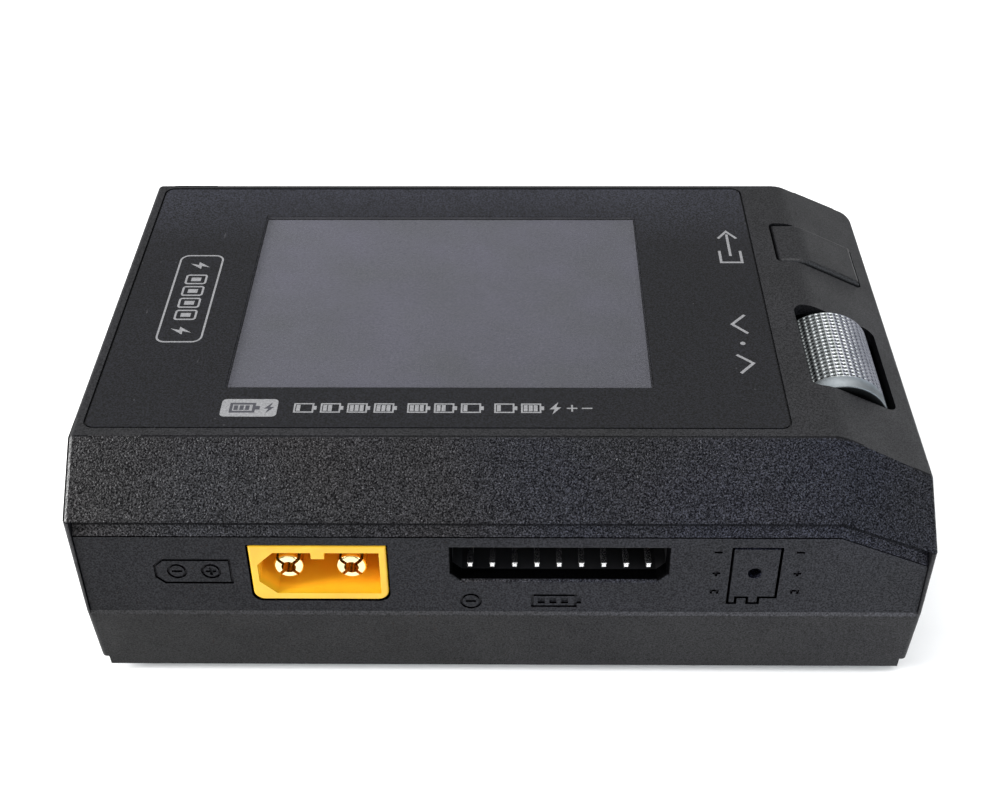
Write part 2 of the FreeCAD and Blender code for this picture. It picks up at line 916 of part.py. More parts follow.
def engraved_ring(name, across, up, radius):
    """An engraved circle line."""
    face = "-case_depth / 2 + panel_inset"
    centre = (across, f"{face} - 1", up)
    disc = cylinder(f"{name}_disc", "y", centre, radius, "1 + engraving")
    core = cylinder(f"{name}_core", "y", centre, f"{radius} - mark_stroke", "2 + engraving")
    return cut(name, disc, [core])


def engraved_sign(name, across, up, length, upright):
    """An engraved minus sign, or a plus sign when it has an upright stroke."""
    half = f"{length} / 2"
    thin = "mark_stroke / 2"
    bar = rectangle(f"{across} - {half}", f"{across} + {half}", f"{up} - {thin}", f"{up} + {thin}")
    marks = [engraved(f"{name}_bar", bar)]
    if upright:
        post = rectangle(f"{across} - {thin}", f"{across} + {thin}", f"{up} - {half}", f"{up} + {half}")
        marks.append(engraved(f"{name}_post", post))
    return marks


def engraved_frame(name, left, right, low, high):
    """An engraved rectangle line."""
    outer = engraved(f"{name}_outer", rectangle(left, right, low, high))
    inner_points = rectangle(f"{left} + mark_stroke", f"{right} - mark_stroke",
                             f"{low} + mark_stroke", f"{high} - mark_stroke")
    inner = prism(f"{name}_inner", "XZ", inner_points, "-case_depth", "0")
    return cut(name, outer, [inner])


def output_marks():
    """Polarity signs in rings inside the outline of a two-pole connector."""
    height = "power_middle + sign_rise"
    marks = []
    for name, across, plus in (("minus", "minus_across", False), ("plus", "plus_across", True)):
        marks.append(engraved_ring(f"output_{name}_ring", across, height, "sign_ring"))
        marks += engraved_sign(f"output_{name}", across, height, "sign_size", plus)
    outer = engraved("plug_mark_outer", plug_mark_outline("0"))
    inner = prism("plug_mark_inner", "XZ", plug_mark_outline("mark_stroke"), "-case_depth", "0")
    marks.append(cut("plug_mark", outer, [inner]))
    return marks


def plug_mark_outline(inset):
    """The connector pictogram: a rectangle with its two left corners cut off."""
    left = f"plug_mark_left + {inset}"
    right = f"plug_mark_right - {inset}"
    low = f"plug_mark_low + {inset}"
    high = f"plug_mark_high - {inset}"
    corner = f"(plug_mark_cut - {inset} / 2)"
    return [
        (f"{left} + {corner}", low),
        (right, low),
        (right, high),
        (f"{left} + {corner}", high),
        (left, f"{high} - {corner}"),
        (left, f"{low} + {corner}"),
    ]


def battery_marks():
    """The first pin's minus sign and a battery with three cells, below the balance opening."""
    height = "balance_low - first_pin_drop"
    marks = [engraved_ring("first_pin_ring", "first_pin_across", height, "sign_ring + 0.1")]
    marks += engraved_sign("first_pin_sign", "first_pin_across", height, "sign_size", False)
    marks.append(engraved_frame("battery_mark", "battery_mark_left", "battery_mark_right",
                                "battery_mark_low", "battery_mark_high"))
    low = "battery_mark_low + battery_cell_inset"
    high = "battery_mark_high - battery_cell_inset"
    tip = rectangle("battery_mark_right", "battery_mark_right + 0.5", low, high)
    marks.append(engraved("battery_tip", tip))
    for step in range(3):
        left = f"battery_mark_left + battery_cell_inset * 1.3 + {step} * battery_cell_pitch"
        cell = rectangle(left, f"{left} + battery_cell", low, high)
        marks.append(engraved(f"battery_cell_{step}", cell))
    return marks


def lead_marks(side, across):
    """Minus, plus and pulse signs, one beside each row of the signal port."""
    rows = [f"signal_middle + {step} * pin_pitch * 1.3" for step in (-1, 0, 1)]
    marks = engraved_sign(f"lead_minus_{side}", across, rows[2], "lead_mark_size", False)
    marks += engraved_sign(f"lead_plus_{side}", across, rows[1], "lead_mark_size", True)
    half = "lead_mark_size * 0.55"
    stroke = "mark_stroke"
    step = "lead_mark_size * 0.25"
    low = rows[0]
    high = f"{rows[0]} + lead_mark_size * 0.75"
    pulse = [
        (f"{across} - {half}", low),
        (f"{across} - {step}", low),
        (f"{across} - {step}", f"{high} - {stroke}"),
        (f"{across} + {step}", f"{high} - {stroke}"),
        (f"{across} + {step}", low),
        (f"{across} + {half}", low),
        (f"{across} + {half}", f"{low} + {stroke}"),
        (f"{across} + {step} + {stroke}", f"{low} + {stroke}"),
        (f"{across} + {step} + {stroke}", high),
        (f"{across} - {step} - {stroke}", high),
        (f"{across} - {step} - {stroke}", f"{low} + {stroke}"),
        (f"{across} - {half}", f"{low} + {stroke}"),
    ]
    marks.append(engraved(f"lead_pulse_{side}", pulse))
    return marks


def front_marks():
    """Plain pictograms beside and below the ports."""
    marks = output_marks() + battery_marks()
    marks += lead_marks("left", "lead_mark_left")
    marks += lead_marks("right", "lead_mark_right")
    return marks


def make_front_panel():
    """Front panel: output, balance and signal openings and their pictograms."""
    half = "(panel_half - panel_gap)"
    outline = rectangle(minus(half), half, "ledge_height", "case_height")
    plate = make_panel("front_panel", -1, outline)
    port = through_panel("front_balance", -1, balance_outline())
    ported = cut("front_ported", plate, [port])
    face = number("-case_depth / 2 + panel_inset")
    reach = number("balance_width / 2 + 0.1")

    def port_rim(start, end):
        on_face = max(abs(start.y - face), abs(end.y - face)) < 0.01
        middle = number("balance_middle")
        return on_face and max(abs(start.x - middle), abs(end.x - middle)) < reach

    rimmed = rounded("front_rimmed", ported, "port_round", port_rim)
    tools = [
        power_opening("front_power", "output_across", -1),
        through_panel("front_signal", -1, signal_outline("plug_gap")),
        fuse("front_marks", front_marks()),
    ]
    node("front_panel", cut("front_panel", rimmed, tools))


def make_rear_panel():
    """Rear panel: input and USB openings, and a grille of upright slots over the fan."""
    usb = box("rear_usb", usb_span("0.2"), ("case_depth / 4", "case_depth"),
              ("main_top - 0.1", "main_top + usb_height + 0.2"))
    tools = [
        power_opening("rear_power", "input_across", 1),
        rounded("rear_usb_soft", usb, "usb_round + 0.1", runs_along("y")),
    ]
    reach = number("fan_bore")
    for step in range(-4, 5):
        shift = step * number("grille_pitch")
        half = (reach ** 2 - shift ** 2) ** 0.5 - 0.4
        middle = f"fan_across + {shift}"
        points = rectangle(f"{middle} - grille_slot / 2", f"{middle} + grille_slot / 2",
                           f"fan_axis - {half:.2f}", f"fan_axis + {half:.2f}")
        tools.append(through_panel(f"rear_slot_{step + 4}", 1, points))
    for index, (side, end) in enumerate(CORNERS):
        centre = (f"fan_across + {side} * fan_hole", "case_depth / 4", f"fan_axis + {end} * fan_hole")
        tools.append(cylinder(f"rear_hole_{index}", "y", centre, "1.1", "case_depth"))
    plate = make_panel("rear_panel", 1, cavity_outline("floor_top", "panel_gap"))
    node("rear_panel", cut("rear_panel", plate, tools))


def make_case_screws():
    """Four countersunk screws driven up through the lower shell into the cover's bosses."""
    screws = []
    for index, (side, end) in enumerate(CORNERS):
        foot = (f"{side} * post_across", f"{end} * post_along", "foot_height + 0.1")
        head = cone(f"case_head_{index}", "z", foot, "screw_head", "screw_radius", "screw_sink")
        shank = cylinder(f"case_shank_{index}", "z", foot, "screw_radius", "screw_length")
        drive = cross_recess(f"case_drive_{index}", foot)
        screws.append(cut(f"case_screw_{index}", fuse(f"case_blank_{index}", [head, shank]), drive))
    node("case_screws", group("case_screws", screws))


def cross_recess(name, foot):
    """A cross recess cut upward into a screw head."""
    across, along, up = foot
    depth = (f"{up} - 1", f"{up} + 0.9")
    wide = box(f"{name}_wide", (f"{across} - 1.3", f"{across} + 1.3"),
               (f"{along} - 0.25", f"{along} + 0.25"), depth)
    tall = box(f"{name}_tall", (f"{across} - 0.25", f"{across} + 0.25"),
               (f"{along} - 1.3", f"{along} + 1.3"), depth)
    return [wide, tall]


def make_rubber_feet():
    """Four round feet set in shallow recesses under the floor."""
    feet = []
    for index, (side, end) in enumerate(CORNERS):
        centre = (f"{side} * foot_across", f"{end} * foot_along", "0")
        lower = cone(f"foot_lower_{index}", "z", centre, "foot_radius - 0.4", "foot_radius", "0.4")
        upper_centre = (centre[0], centre[1], "0.4")
        rise = "foot_height + foot_recess - 0.4"
        upper = cylinder(f"foot_upper_{index}", "z", upper_centre, "foot_radius", rise)
        feet.append(fuse(f"foot_{index}", [lower, upper]))
    node("rubber_feet", group("rubber_feet", feet))


# ---------------------------------------------------------------- display


def make_screen_panel():
    """Printed overlay with a window, just below the rim of the cover's recess."""
    body = new_body("screen_panel")
    outline = rectangle("panel_left", "panel_right", "panel_front", "panel_rear")
    pad(body, "film_sheet", "XY", "case_height - film", "case_height - film_sunk", [outline])
    round_body(body, "film_corners", "film_round - film_gap", runs_along("z"))
    window = rectangle("window_left", "window_right", "window_front", "window_rear")
    pocket(body, "film_window", "XY", "case_height - film", "case_height - film_sunk", [window])


def make_screen_window():
    """Clear window in the overlay."""
    body = new_body("screen_window")
    window = rectangle("window_left + window_gap", "window_right - window_gap",
                       "window_front + window_gap", "window_rear - window_gap")
    pad(body, "window_pane", "XY", "case_height - film", "case_height - film_sunk - 0.02", [window])


def make_lcd_module():
    """Display glass, raised into the cover's window."""
    body = new_body("lcd_module")
    lower = rectangle("window_left - glass_rim", "window_right + glass_rim",
                      "window_front - glass_rim", "window_rear + glass_rim")
    pad(body, "lcd_body", "XY", "glass_bottom", "case_height - wall - 0.1", [lower])
    upper = rectangle("window_left + 0.2", "window_right - 0.2",
                      "window_front + 0.2", "window_rear - 0.2")
    pad(body, "lcd_face", "XY", "case_height - wall - 0.1", "case_height - film - 0.05", [upper])


def make_lcd_frame():
    """Shallow tray that carries the display on the control board."""
    body = new_body("lcd_frame")
    rim = "(glass_rim + frame_rim)"
    outline = rectangle(f"window_left - {rim}", f"window_right + {rim}",
                        f"window_front - {rim}", f"window_rear + {rim}")
    pad(body, "frame_block", "XY", "frame_bottom", "glass_bottom + 1", [outline])
    seat = rectangle("window_left - glass_rim", "window_right + glass_rim",
                     "window_front - glass_rim", "window_rear + glass_rim")
    pocket(body, "frame_seat", "XY", "glass_bottom", "glass_bottom + 1", [seat])
    hollow = rectangle("window_left + 2", "window_right - 2", "window_front + 2", "window_rear - 2")
    pocket(body, "frame_hollow", "XY", "frame_bottom", "glass_bottom", [hollow])


def control_screw_places():
    places = []
    for side, end in CORNERS:
        column = "control_screw_left" if side < 0 else "control_screw_right"
        places.append((column, f"{end} * control_screw_along"))
    return places


def make_control_board():
    """Board that carries the display, hung from the cover's pillars."""
    body = new_body("control_board")
    outline = rectangle("control_left", "control_right", "-control_half", "control_half")
    pad(body, "control_sheet", "XY", "control_bottom", "control_top", [outline])
    circles = [(across, along, "1.1") for across, along in control_screw_places()]
    pocket(body, "control_holes", "XY", "control_bottom", "control_top", [], circles)


def pan_screws(label, places, seat, direction, head_radius, shank_radius, length):
    """Pan-head screws at several places; the direction is 1 for screws driven upward."""
    screws = []
    head_height = "1.2"
    for index, (across, along) in enumerate(places):
        head_foot = f"{seat} - {head_height}" if direction > 0 else seat
        shank_foot = seat if direction > 0 else f"{seat} - {length}"
        head = cylinder(f"{label}_head_{index}", "z", (across, along, head_foot),
                        head_radius, head_height)
        shank = cylinder(f"{label}_shank_{index}", "z", (across, along, shank_foot),
                         shank_radius, length)
        screws.append(fuse(f"{label}_{index}", [head, shank]))
    node(label, group(label, screws))


def make_display_ribbon():
    """Flat cable that steps up from the main board to the control board."""
    points = [
        ("-19.0", "main_top"),
        ("-18.7", "main_top"),
        ("-18.7", "21.0"),
        ("-12.0", "24.0"),
        ("-12.0", "control_bottom"),
        ("-12.3", "control_bottom"),
        ("-12.3", "24.2"),
        ("-19.0", "21.2"),
    ]
    node("display_ribbon", prism("display_ribbon", "YZ", points, "-9.0", "7.0"))


# ---------------------------------------------------------------- boards


def board_screw_places():
    return [("-33.5", "-27.0"), ("36.5", "-27.0"), ("-43.3", "20.6"), ("10.4", "21.4")]


def make_main_board():
    """Power board, notched round the case posts and the fan."""
    body = new_body("main_board")
    outline = [
        ("-post_clear_across", "main_front"),
        ("post_clear_across", "main_front"),
        ("post_clear_across", "-post_clear_along"),
        ("main_half", "-post_clear_along"),
        ("main_half", "main_step_along"),
        ("main_step_across", "main_step_along"),
        ("main_step_across", "main_rear"),
        ("-post_clear_across", "main_rear"),
        ("-post_clear_across", "post_clear_along"),
        ("-main_half", "post_clear_along"),
        ("-main_half", "-post_clear_along"),
        ("-post_clear_across", "-post_clear_along"),
    ]
    pad(body, "main_sheet", "XY", "main_bottom", "main_top", [outline])
    circles = [(across, along, "1.3") for across, along in board_screw_places()]
    pocket(body, "main_holes", "XY", "main_bottom", "main_top", [], circles)


def key_screw_places():
    return [("35.2", "-20.8"), ("44.4", "-20.8"), ("35.2", "18.6"), ("44.4", "18.6")]


def make_key_board():
    """Small board for the wheel and the exit button, on four spacers."""
    body = new_body("key_board")
    outline = rectangle("key_left", "key_right", "key_front", "key_rear")
    pad(body, "key_sheet", "XY", "key_bottom", "key_top", [outline])
    circles = [(across, along, "0.9") for across, along in key_screw_places()]
    pocket(body, "key_holes", "XY", "key_bottom", "key_top", [], circles)
    spacers = []
    for index, (across, along) in enumerate(key_screw_places()):
        centre = (across, along, "main_top")
        tube = cylinder(f"spacer_tube_{index}", "z", centre, "1.7", "key_bottom - main_top")
        bore = cylinder(f"spacer_bore_{index}", "z", centre, "0.85", "key_bottom - main_top")
        spacers.append(cut(f"spacer_{index}", tube, [bore]))
    node("key_board_spacers", group("key_board_spacers", spacers))


# ---------------------------------------------------------------- connectors


def round_edge_at(along):
    """A test for a full-circle edge at a place along Y."""

    def wanted(start, end):
        return abs(start.y - along) < 0.01 and abs(end.y - along) < 0.01

    return wanted


def slit_outline(middle, turn):
    """A diagonal slit across a contact, turned one way (-1) or the other (1)."""
    reach = "contact_radius * 0.8"
    half = "contact_slit * 0.354"
    corners = []
    for along, aside in ((-1, -1), (1, -1), (1, 1), (-1, 1)):
        across = f"{middle} + {along} * {reach} - {aside * turn} * {half}"
        up = f"power_middle + {turn} * ({along} * {reach}) + {aside} * {half}"
        corners.append((across, up))
    return corners


def make_power_connector(label, across, side):
    """A two-pole power connector (-1 faces forward, 1 backward) with its two split contacts."""
    face = f"{side} * (case_depth / 2 - panel_inset)"

    def span(near, far):
        """Limits between two depths behind the connector's face, in rising order."""
        limits = (f"{face} - {side} * ({near})", f"{face} - {side} * ({far})")
        return limits if side < 0 else limits[::-1]

    contacts = []
    tip = number(f"{face} - {side} * contact_recess")
    for index, pole in enumerate((-1, 1)):
        middle = f"{across} + {pole} * contact_pitch / 2"
        low, high = span("contact_recess", "power_depth + 2")
        centre = (middle, low, "power_middle")
        rod = cylinder(f"{label}_rod_{index}", "y", centre, "contact_radius", f"({high}) - ({low})")
        domed = rounded(f"{label}_domed_{index}", rod, "contact_round", round_edge_at(tip))
        bore_low, bore_high = span("contact_recess - 1", "contact_recess + 6")
        bore = cylinder(f"{label}_bore_{index}", "y", (middle, bore_low, "power_middle"),
                        "contact_bore", f"({bore_high}) - ({bore_low})")
        slit_low, slit_high = span("contact_recess - 1", "contact_recess + 5.5")
        slits = []
        for turn in (-1, 1):
            points = slit_outline(middle, turn)
            slits.append(prism(f"{label}_slit_{index}_{turn + 1}", "XZ", points, slit_low, slit_high))
        tail = box(f"{label}_tail_{index}", (f"{middle} - 1", f"{middle} + 1"),
                   span("power_depth + 0.4", "power_depth + 1.6"), ("main_top", "power_middle"))
        blank = cut(f"{label}_split_{index}", domed, [bore] + slits)
        contacts.append(fuse(f"{label}_contact_{index}", [blank, tail]))
    node(f"{label}_contacts", group(f"{label}_contacts", contacts))
    block = box(f"{label}_block",
                (f"{across} - power_width / 2", f"{across} + power_width / 2"),
                span("0", "power_depth"),
                ("power_middle - power_height / 2", "power_middle + power_height / 2"))
    soft = rounded(f"{label}_soft", block, "power_round", lower_corners("y", "power_middle"))
    face_along = number(face)

    def on_face(start, end):
        return max(abs(start.y - face_along), abs(end.y - face_along)) < 0.01

    rimmed = rounded(f"{label}_rimmed", soft, "rim_round", on_face)
    low, high = span("-1", "power_cavity")
    cavity = prism(f"{label}_cavity", "XZ", power_cavity_outline(across, side), low, high)
    rods = []
    for index, pole in enumerate((-1, 1)):
        middle = f"{across} + {pole} * contact_pitch / 2"
        low, high = span("0", "power_depth + 2")
        rods.append(cylinder(f"{label}_way_{index}", "y", (middle, low, "power_middle"),
                             "contact_radius", f"({high}) - ({low})"))
    foot = box(f"{label}_foot",
               (f"{across} - power_width / 2 + 2", f"{across} + power_width / 2 - 2"),
               span("4", "power_depth - 2"), ("main_top", "power_middle - power_height / 2 + 0.2"))
    hollow = cut(f"{label}_hollow", fuse(f"{label}_mass", [rimmed, foot]), [cavity] + rods)
    node(f"{label}_housing", hollow)


def make_balance_port():
    """Shrouded header with nine right-angle pins."""
    count = 9
    pins = []
    thin = "pin_width / 2"
    tip = number("pin_tip")

    def at_tip(start, end):
        return max(start.y, end.y) < tip + 0.01

    for index in range(count):
        middle = f"balance_middle + ({index} - 4) * pin_pitch"
        rod = box(f"balance_rod_{index}", (f"{middle} - {thin}", f"{middle} + {thin}"),
                  ("pin_tip", "header_back + 1.6"),
                  (f"pin_height - {thin}", f"pin_height + {thin}"))
        pointed = rounded(f"balance_tip_{index}", rod, "pin_round", at_tip)
        tail = box(f"balance_tail_{index}", (f"{middle} - {thin}", f"{middle} + {thin}"),
                   ("header_back + 1.6 - pin_width", "header_back + 1.6"),
                   ("main_top", "pin_height"))
        pins.append(fuse(f"balance_pin_{index}", [pointed, tail]))
    node("balance_pins", group("balance_pins", pins))
    left = "balance_middle - balance_width / 2"
    right = "balance_middle + balance_width / 2"
    front = "-case_depth / 2 + panel_inset + panel_thickness"
    block = box("balance_block", (f"{left} - 1.3", f"{right} + 1.3"), (front, "header_back"),
                ("main_top", "balance_high + 1.2"))
    cavity = prism("balance_cavity", "XZ", balance_outline(), f"{front} - 1",
                   f"{front} + balance_depth")
    ways = []
    for index in range(count):
        middle = f"balance_middle + ({index} - 4) * pin_pitch"
        ways.append(box(f"balance_way_{index}", (f"{middle} - {thin}", f"{middle} + {thin}"),
                        (front, "header_back + 1"),
                        (f"pin_height - {thin}", f"pin_height + {thin}")))
    node("balance_header", cut("balance_header", block, [cavity] + ways))


def make_signal_port():
    """Two rows of three pins in a header, and the dust plug that closes the port."""
    pins = []
    ways = []
    thin = "pin_width / 2"
    header = ("signal_header_face", "header_back - 3")
    for column in (-1, 1):
        for row in (-1, 0, 1):
            name = f"{column + 1}_{row + 1}"
            middle = f"signal_across + {column} * pin_pitch / 2"
            height = f"signal_middle + {row} * pin_pitch"
            xs = (f"{middle} - {thin}", f"{middle} + {thin}")
            zs = (f"{height} - {thin}", f"{height} + {thin}")
            pins.append(box(f"signal_pin_{name}", xs, ("signal_tip", "signal_tail"), zs))
            ways.append(box(f"signal_way_{name}", xs, ("signal_tip - 1", "signal_tail + 1"), zs))
    node("signal_pins", group("signal_pins", pins))
    block = box("signal_block",
                ("signal_across - signal_width / 2 - 0.6", "signal_across + signal_width / 2 + 0.6"),
                header, ("main_top", "signal_middle + signal_height / 2 + 0.6"))
    node("signal_header", cut("signal_header", block, ways))
    plug = new_body("signal_port_cover")
    face = "-case_depth / 2 + panel_inset"
    pad(plug, "plug_slab", "XZ", face, f"{face} + plug_depth", [signal_outline("0")])
    hole = [("signal_across", "signal_middle", "plug_hole")]
    pocket(plug, "plug_eye", "XZ", face, f"{face} + plug_depth", [], hole)


def usb_span(gap):
    """The receptacle's limits from left to right, a gap wider on each side."""
    half = f"(usb_width / 2 + {gap})"
    return (f"usb_across - {half}", f"usb_across + {half}")


def make_usb_port():
    """USB-C receptacle shell with its tongue."""
    top = "main_top + usb_height"
    shell = box("usb_block", usb_span("0"), ("usb_back", "usb_face"), ("main_top", top))
    soft = rounded("usb_soft", shell, "usb_round", runs_along("y"))
    hollow = box("usb_hollow", usb_span("-usb_sheet"), ("usb_back + 1.5", "usb_face + 1"),
                 ("main_top + usb_sheet", f"{top} - usb_sheet"))
    soft_hollow = rounded("usb_hollow_soft", hollow, "usb_round - 0.2", runs_along("y"))
    blade = box("usb_blade", usb_span("-usb_sheet * 3"), ("usb_back + 1", "usb_face - 0.7"),
                ("main_top + usb_height / 2 - 0.35", "main_top + usb_height / 2 + 0.35"))
    node("usb_port", fuse("usb_port", [cut("usb_case", soft, [soft_hollow]), blade]))


# ---------------------------------------------------------------- wheel and button


def make_scroll_wheel():
    """Wheel turned from a rounded profile, with a bore for its axle."""
    body = new_body("scroll_wheel")
    sketch = sketch_on(body, "wheel_profile", "YZ", "wheel_across")
    rim = "wheel_axis + wheel_radius"
    bore = "wheel_axis + axle_radius"
    draw_outline(sketch, [
        ("wheel_front", bore),
        ("wheel_front", "wheel_axis + 2.2"),
        ("wheel_front + 0.5", "wheel_axis + 2.6"),
        ("wheel_front + 0.5", f"{rim} - 1.4"),
        ("wheel_front", f"{rim} - 1.0"),
        ("wheel_front", f"{rim} - 0.4"),
        ("wheel_front + 0.4", rim),
        ("wheel_rear - 0.4", rim),
        ("wheel_rear", f"{rim} - 0.4"),
        ("wheel_rear", bore),
    ])
    turn_axis = sketch.addGeometry(
        Part.LineSegment(
            FreeCAD.Vector(number("wheel_front"), number("wheel_axis"), 0),
            FreeCAD.Vector(number("wheel_rear"), number("wheel_axis"), 0),
        ),
        True,
    )
    ends = (("wheel_front", 1), ("wheel_rear", 2))
    for across, end in ends:
        for kind, expression in (("DistanceX", across), ("DistanceY", "wheel_axis")):
            size = number(expression)
            held = sketch.addConstraint(Sketcher.Constraint(kind, -1, 1, turn_axis, end, size))
            sketch.setExpression(f"Constraints[{held}]", bound(expression))
    feature = body.newObject("PartDesign::Revolution", "wheel_turned")
    feature.Profile = sketch
    feature.ReferenceAxis = (sketch, ["Axis0"])
    feature.Angle = 360


def make_wheel_axle():
    """Steel pin that turns with the wheel in the carrier's cheeks and drives the encoder."""
    body = new_body("wheel_axle")
    front = "wheel_front - cheek_gap - cheek"
    rear = "wheel_rear + cheek_gap + cheek + encoder_length - 0.6"
    pin = [("wheel_across", "wheel_axis", "axle_radius")]
    pad(body, "axle_rod", "XZ", front, rear, [], pin)


def make_wheel_carrier():
    """Cradle with two cheeks for the axle and two eyes for the guide pins."""
    body = new_body("wheel_carrier")
    base = rectangle("wheel_across - carrier_half", "wheel_across + carrier_half",
                     "carrier_front", "carrier_rear")
    pad(body, "carrier_base", "XY", "carrier_bottom", "carrier_top", [base])
    cheek_outline = [
        ("wheel_across - 2.6", "carrier_bottom"),
        ("wheel_across + 2.6", "carrier_bottom"),
        ("wheel_across + 1.7", "wheel_axis + 1.8"),
        ("wheel_across - 1.7", "wheel_axis + 1.8"),
    ]
    front = "wheel_front - cheek_gap"
    rear = "wheel_rear + cheek_gap"
    pad(body, "carrier_front_cheek", "XZ", f"{front} - cheek", front, [cheek_outline])
    pad(body, "carrier_rear_cheek", "XZ", rear, f"{rear} + cheek", [cheek_outline])
    hole = [("wheel_across", "wheel_axis", "axle_radius + axle_fit")]
    pocket(body, "carrier_bearings", "XZ", f"{front} - cheek", f"{rear} + cheek", [], hole)
    eyes = [("wheel_across", along, "guide_radius + guide_fit") for along in guide_places()]
    pocket(body, "carrier_eyes", "XY", "carrier_bottom", "carrier_top", [], eyes)


def guide_places():
    return ["carrier_front + 1.5", "carrier_rear - 1.5"]


def make_guide_pins():
    """Two pins on the key board that the carrier slides on."""
    pins = []
    for index, along in enumerate(guide_places()):
        centre = ("wheel_across", along, "key_top")
        pins.append(cylinder(f"guide_{index}", "z", centre, "guide_radius", "carrier_top - key_top + 0.8"))
    node("carrier_guide_pins", group("carrier_guide_pins", pins))


def make_wheel_encoder():
    """Encoder on the rear cheek, turned by the end of the axle."""
    body = new_body("wheel_encoder")
    face = "wheel_rear + cheek_gap + cheek"
    case = rectangle("wheel_across - 3.0", "wheel_across + 2.6", "carrier_top", "wheel_axis + 1.8")
    pad(body, "encoder_case", "XZ", face, f"{face} + encoder_length", [case])
    hole = [("wheel_across", "wheel_axis", "axle_radius + axle_fit")]
    pocket(body, "encoder_bore", "XZ", face, f"{face} + encoder_length - 0.4", [], hole)
    corners = rectangle("wheel_across - 3.0", "wheel_across + 2.6",
                        f"{face} + encoder_length - 2.0", f"{face} + encoder_length")
    pocket(body, "encoder_step", "XY", "wheel_axis + 1.2", "wheel_axis + 1.8", [corners])


def make_switch(label, across, along):
    """Square push switch on the key board, with its own plunger."""
    body = new_body(label)
    case = rectangle(f"{across} - switch_half", f"{across} + switch_half",
                     f"{along} - switch_half", f"{along} + switch_half")
    pad(body, f"{label}_case", "XY", "key_top", "switch_top", [case])
    well = [(across, along, "plunger_radius + plunger_gap")]
    pocket(body, f"{label}_well", "XY", "key_top + 1.2", "switch_top", [], well)
    plunger = new_body(f"{label}_plunger")
    rod = [(across, along, "plunger_radius")]
    pad(plunger, f"{label}_rod", "XY", "key_top + 1.8", "plunger_top", [], rod)


def make_exit_button():
    """Bent key cap that follows the top and its slope, with a flange inside and a stem."""
    body = new_body("exit_button")
    low = "exit_skin"
    end_height = "case_height - (exit_right - exit_bend) * top_slope"
    cap = [
        ("exit_left", f"case_height - {low}"),
        ("exit_left", "case_height"),
        ("exit_bend", "case_height"),
        ("exit_right", end_height),
        ("exit_right", f"{end_height} - {low} - 0.3"),
        ("exit_bend - 1", f"case_height - {low}"),
    ]
    pad(body, "exit_cap", "XZ", "exit_front", "exit_rear", [cap])
    bend = number("exit_bend")
    slope = number("top_slope")
    top = number("case_height")

    def at_fold(start, end):
        on_fold = abs(start.x - bend) < 0.01 and abs(end.x - bend) < 0.01
        return on_fold and min(start.z, end.z) > top - 0.01

    round_body(body, "exit_folded", "exit_fold", at_fold)
    crown = number("case_height") - 0.01

    def on_top(point):
        return point.z > crown - max(0.0, point.x - bend) * slope

    def top_edge(start, end):
        return on_top(start) and on_top(end)

    round_body(body, "exit_edges", "exit_round", top_edge)
    drop = "case_height - exit_skin"
    slant = f"{end_height} - exit_skin - 0.6"
    flange = [
        ("exit_left", drop),
        ("exit_bend - 1.2", drop),
        ("exit_right - 0.6", slant),
        ("exit_right - 0.6", f"{slant} - 1.0"),
        ("exit_bend - 1.4", f"{drop} - 1.0"),
        ("exit_left", f"{drop} - 1.0"),
    ]
    pad(body, "exit_lip", "XZ", "exit_front - exit_flange", "exit_rear + exit_flange", [flange])
    along = "(exit_front + exit_rear) / 2"
    stem = rectangle("exit_stem_across - stem_half", "exit_stem_across + stem_half",
                     f"{along} - stem_half", f"{along} + stem_half")
    pad(body, "exit_stem", "XY", "carrier_bottom", "case_height - 4.4", [stem])


# ---------------------------------------------------------------- fan and power stage


def make_fan_frame():
    """Square fan frame: a round duct with a hub plate on two arms at its inner end."""
    back = "case_depth / 2 - panel_inset - panel_thickness"
    front = f"{back} - fan_depth"
    block = box("fan_block", ("fan_across - fan_half", "fan_across + fan_half"), (front, back),
                ("fan_axis - fan_half", "fan_axis + fan_half"))
    soft = rounded("fan_soft", block, "1.2", runs_along("y"))
    centre = ("fan_across", f"{front} - 1", "fan_axis")
    tools = [cylinder("fan_duct", "y", centre, "fan_bore", "fan_depth + 2")]
    for index, (side, end) in enumerate(CORNERS):
        place_of = (f"fan_across + {side} * fan_hole", f"{front} - 1", f"fan_axis + {end} * fan_hole")
        tools.append(cylinder(f"fan_hole_{index}", "y", place_of, "0.9", "fan_depth + 2"))
    ring = cut("fan_ring", soft, tools)
    hub_centre = ("fan_across", front, "fan_axis")
    hub = cylinder("fan_hub_plate", "y", hub_centre, "fan_hub + 0.3", "1.0")
    arm_reach = "fan_bore + 0.3"
    level_arm = box("fan_level_arm", (f"fan_across - {arm_reach}", f"fan_across + {arm_reach}"),
                    (front, f"{front} + 1.0"), ("fan_axis - 0.7", "fan_axis + 0.7"))
    upright_arm = box("fan_upright_arm", ("fan_across - 0.7", "fan_across + 0.7"),
                      (front, f"{front} + 1.0"), (f"fan_axis - {arm_reach}", f"fan_axis + {arm_reach}"))
    frame = fuse("fan_frame_solid", [ring, hub, level_arm, upright_arm])
    bearing = cylinder("fan_bearing", "y", ("fan_across", f"{front} - 1", "fan_axis"),
                       "shaft_radius + axle_fit", "4")
    node("fan_frame", cut("fan_frame", frame, [bearing]))


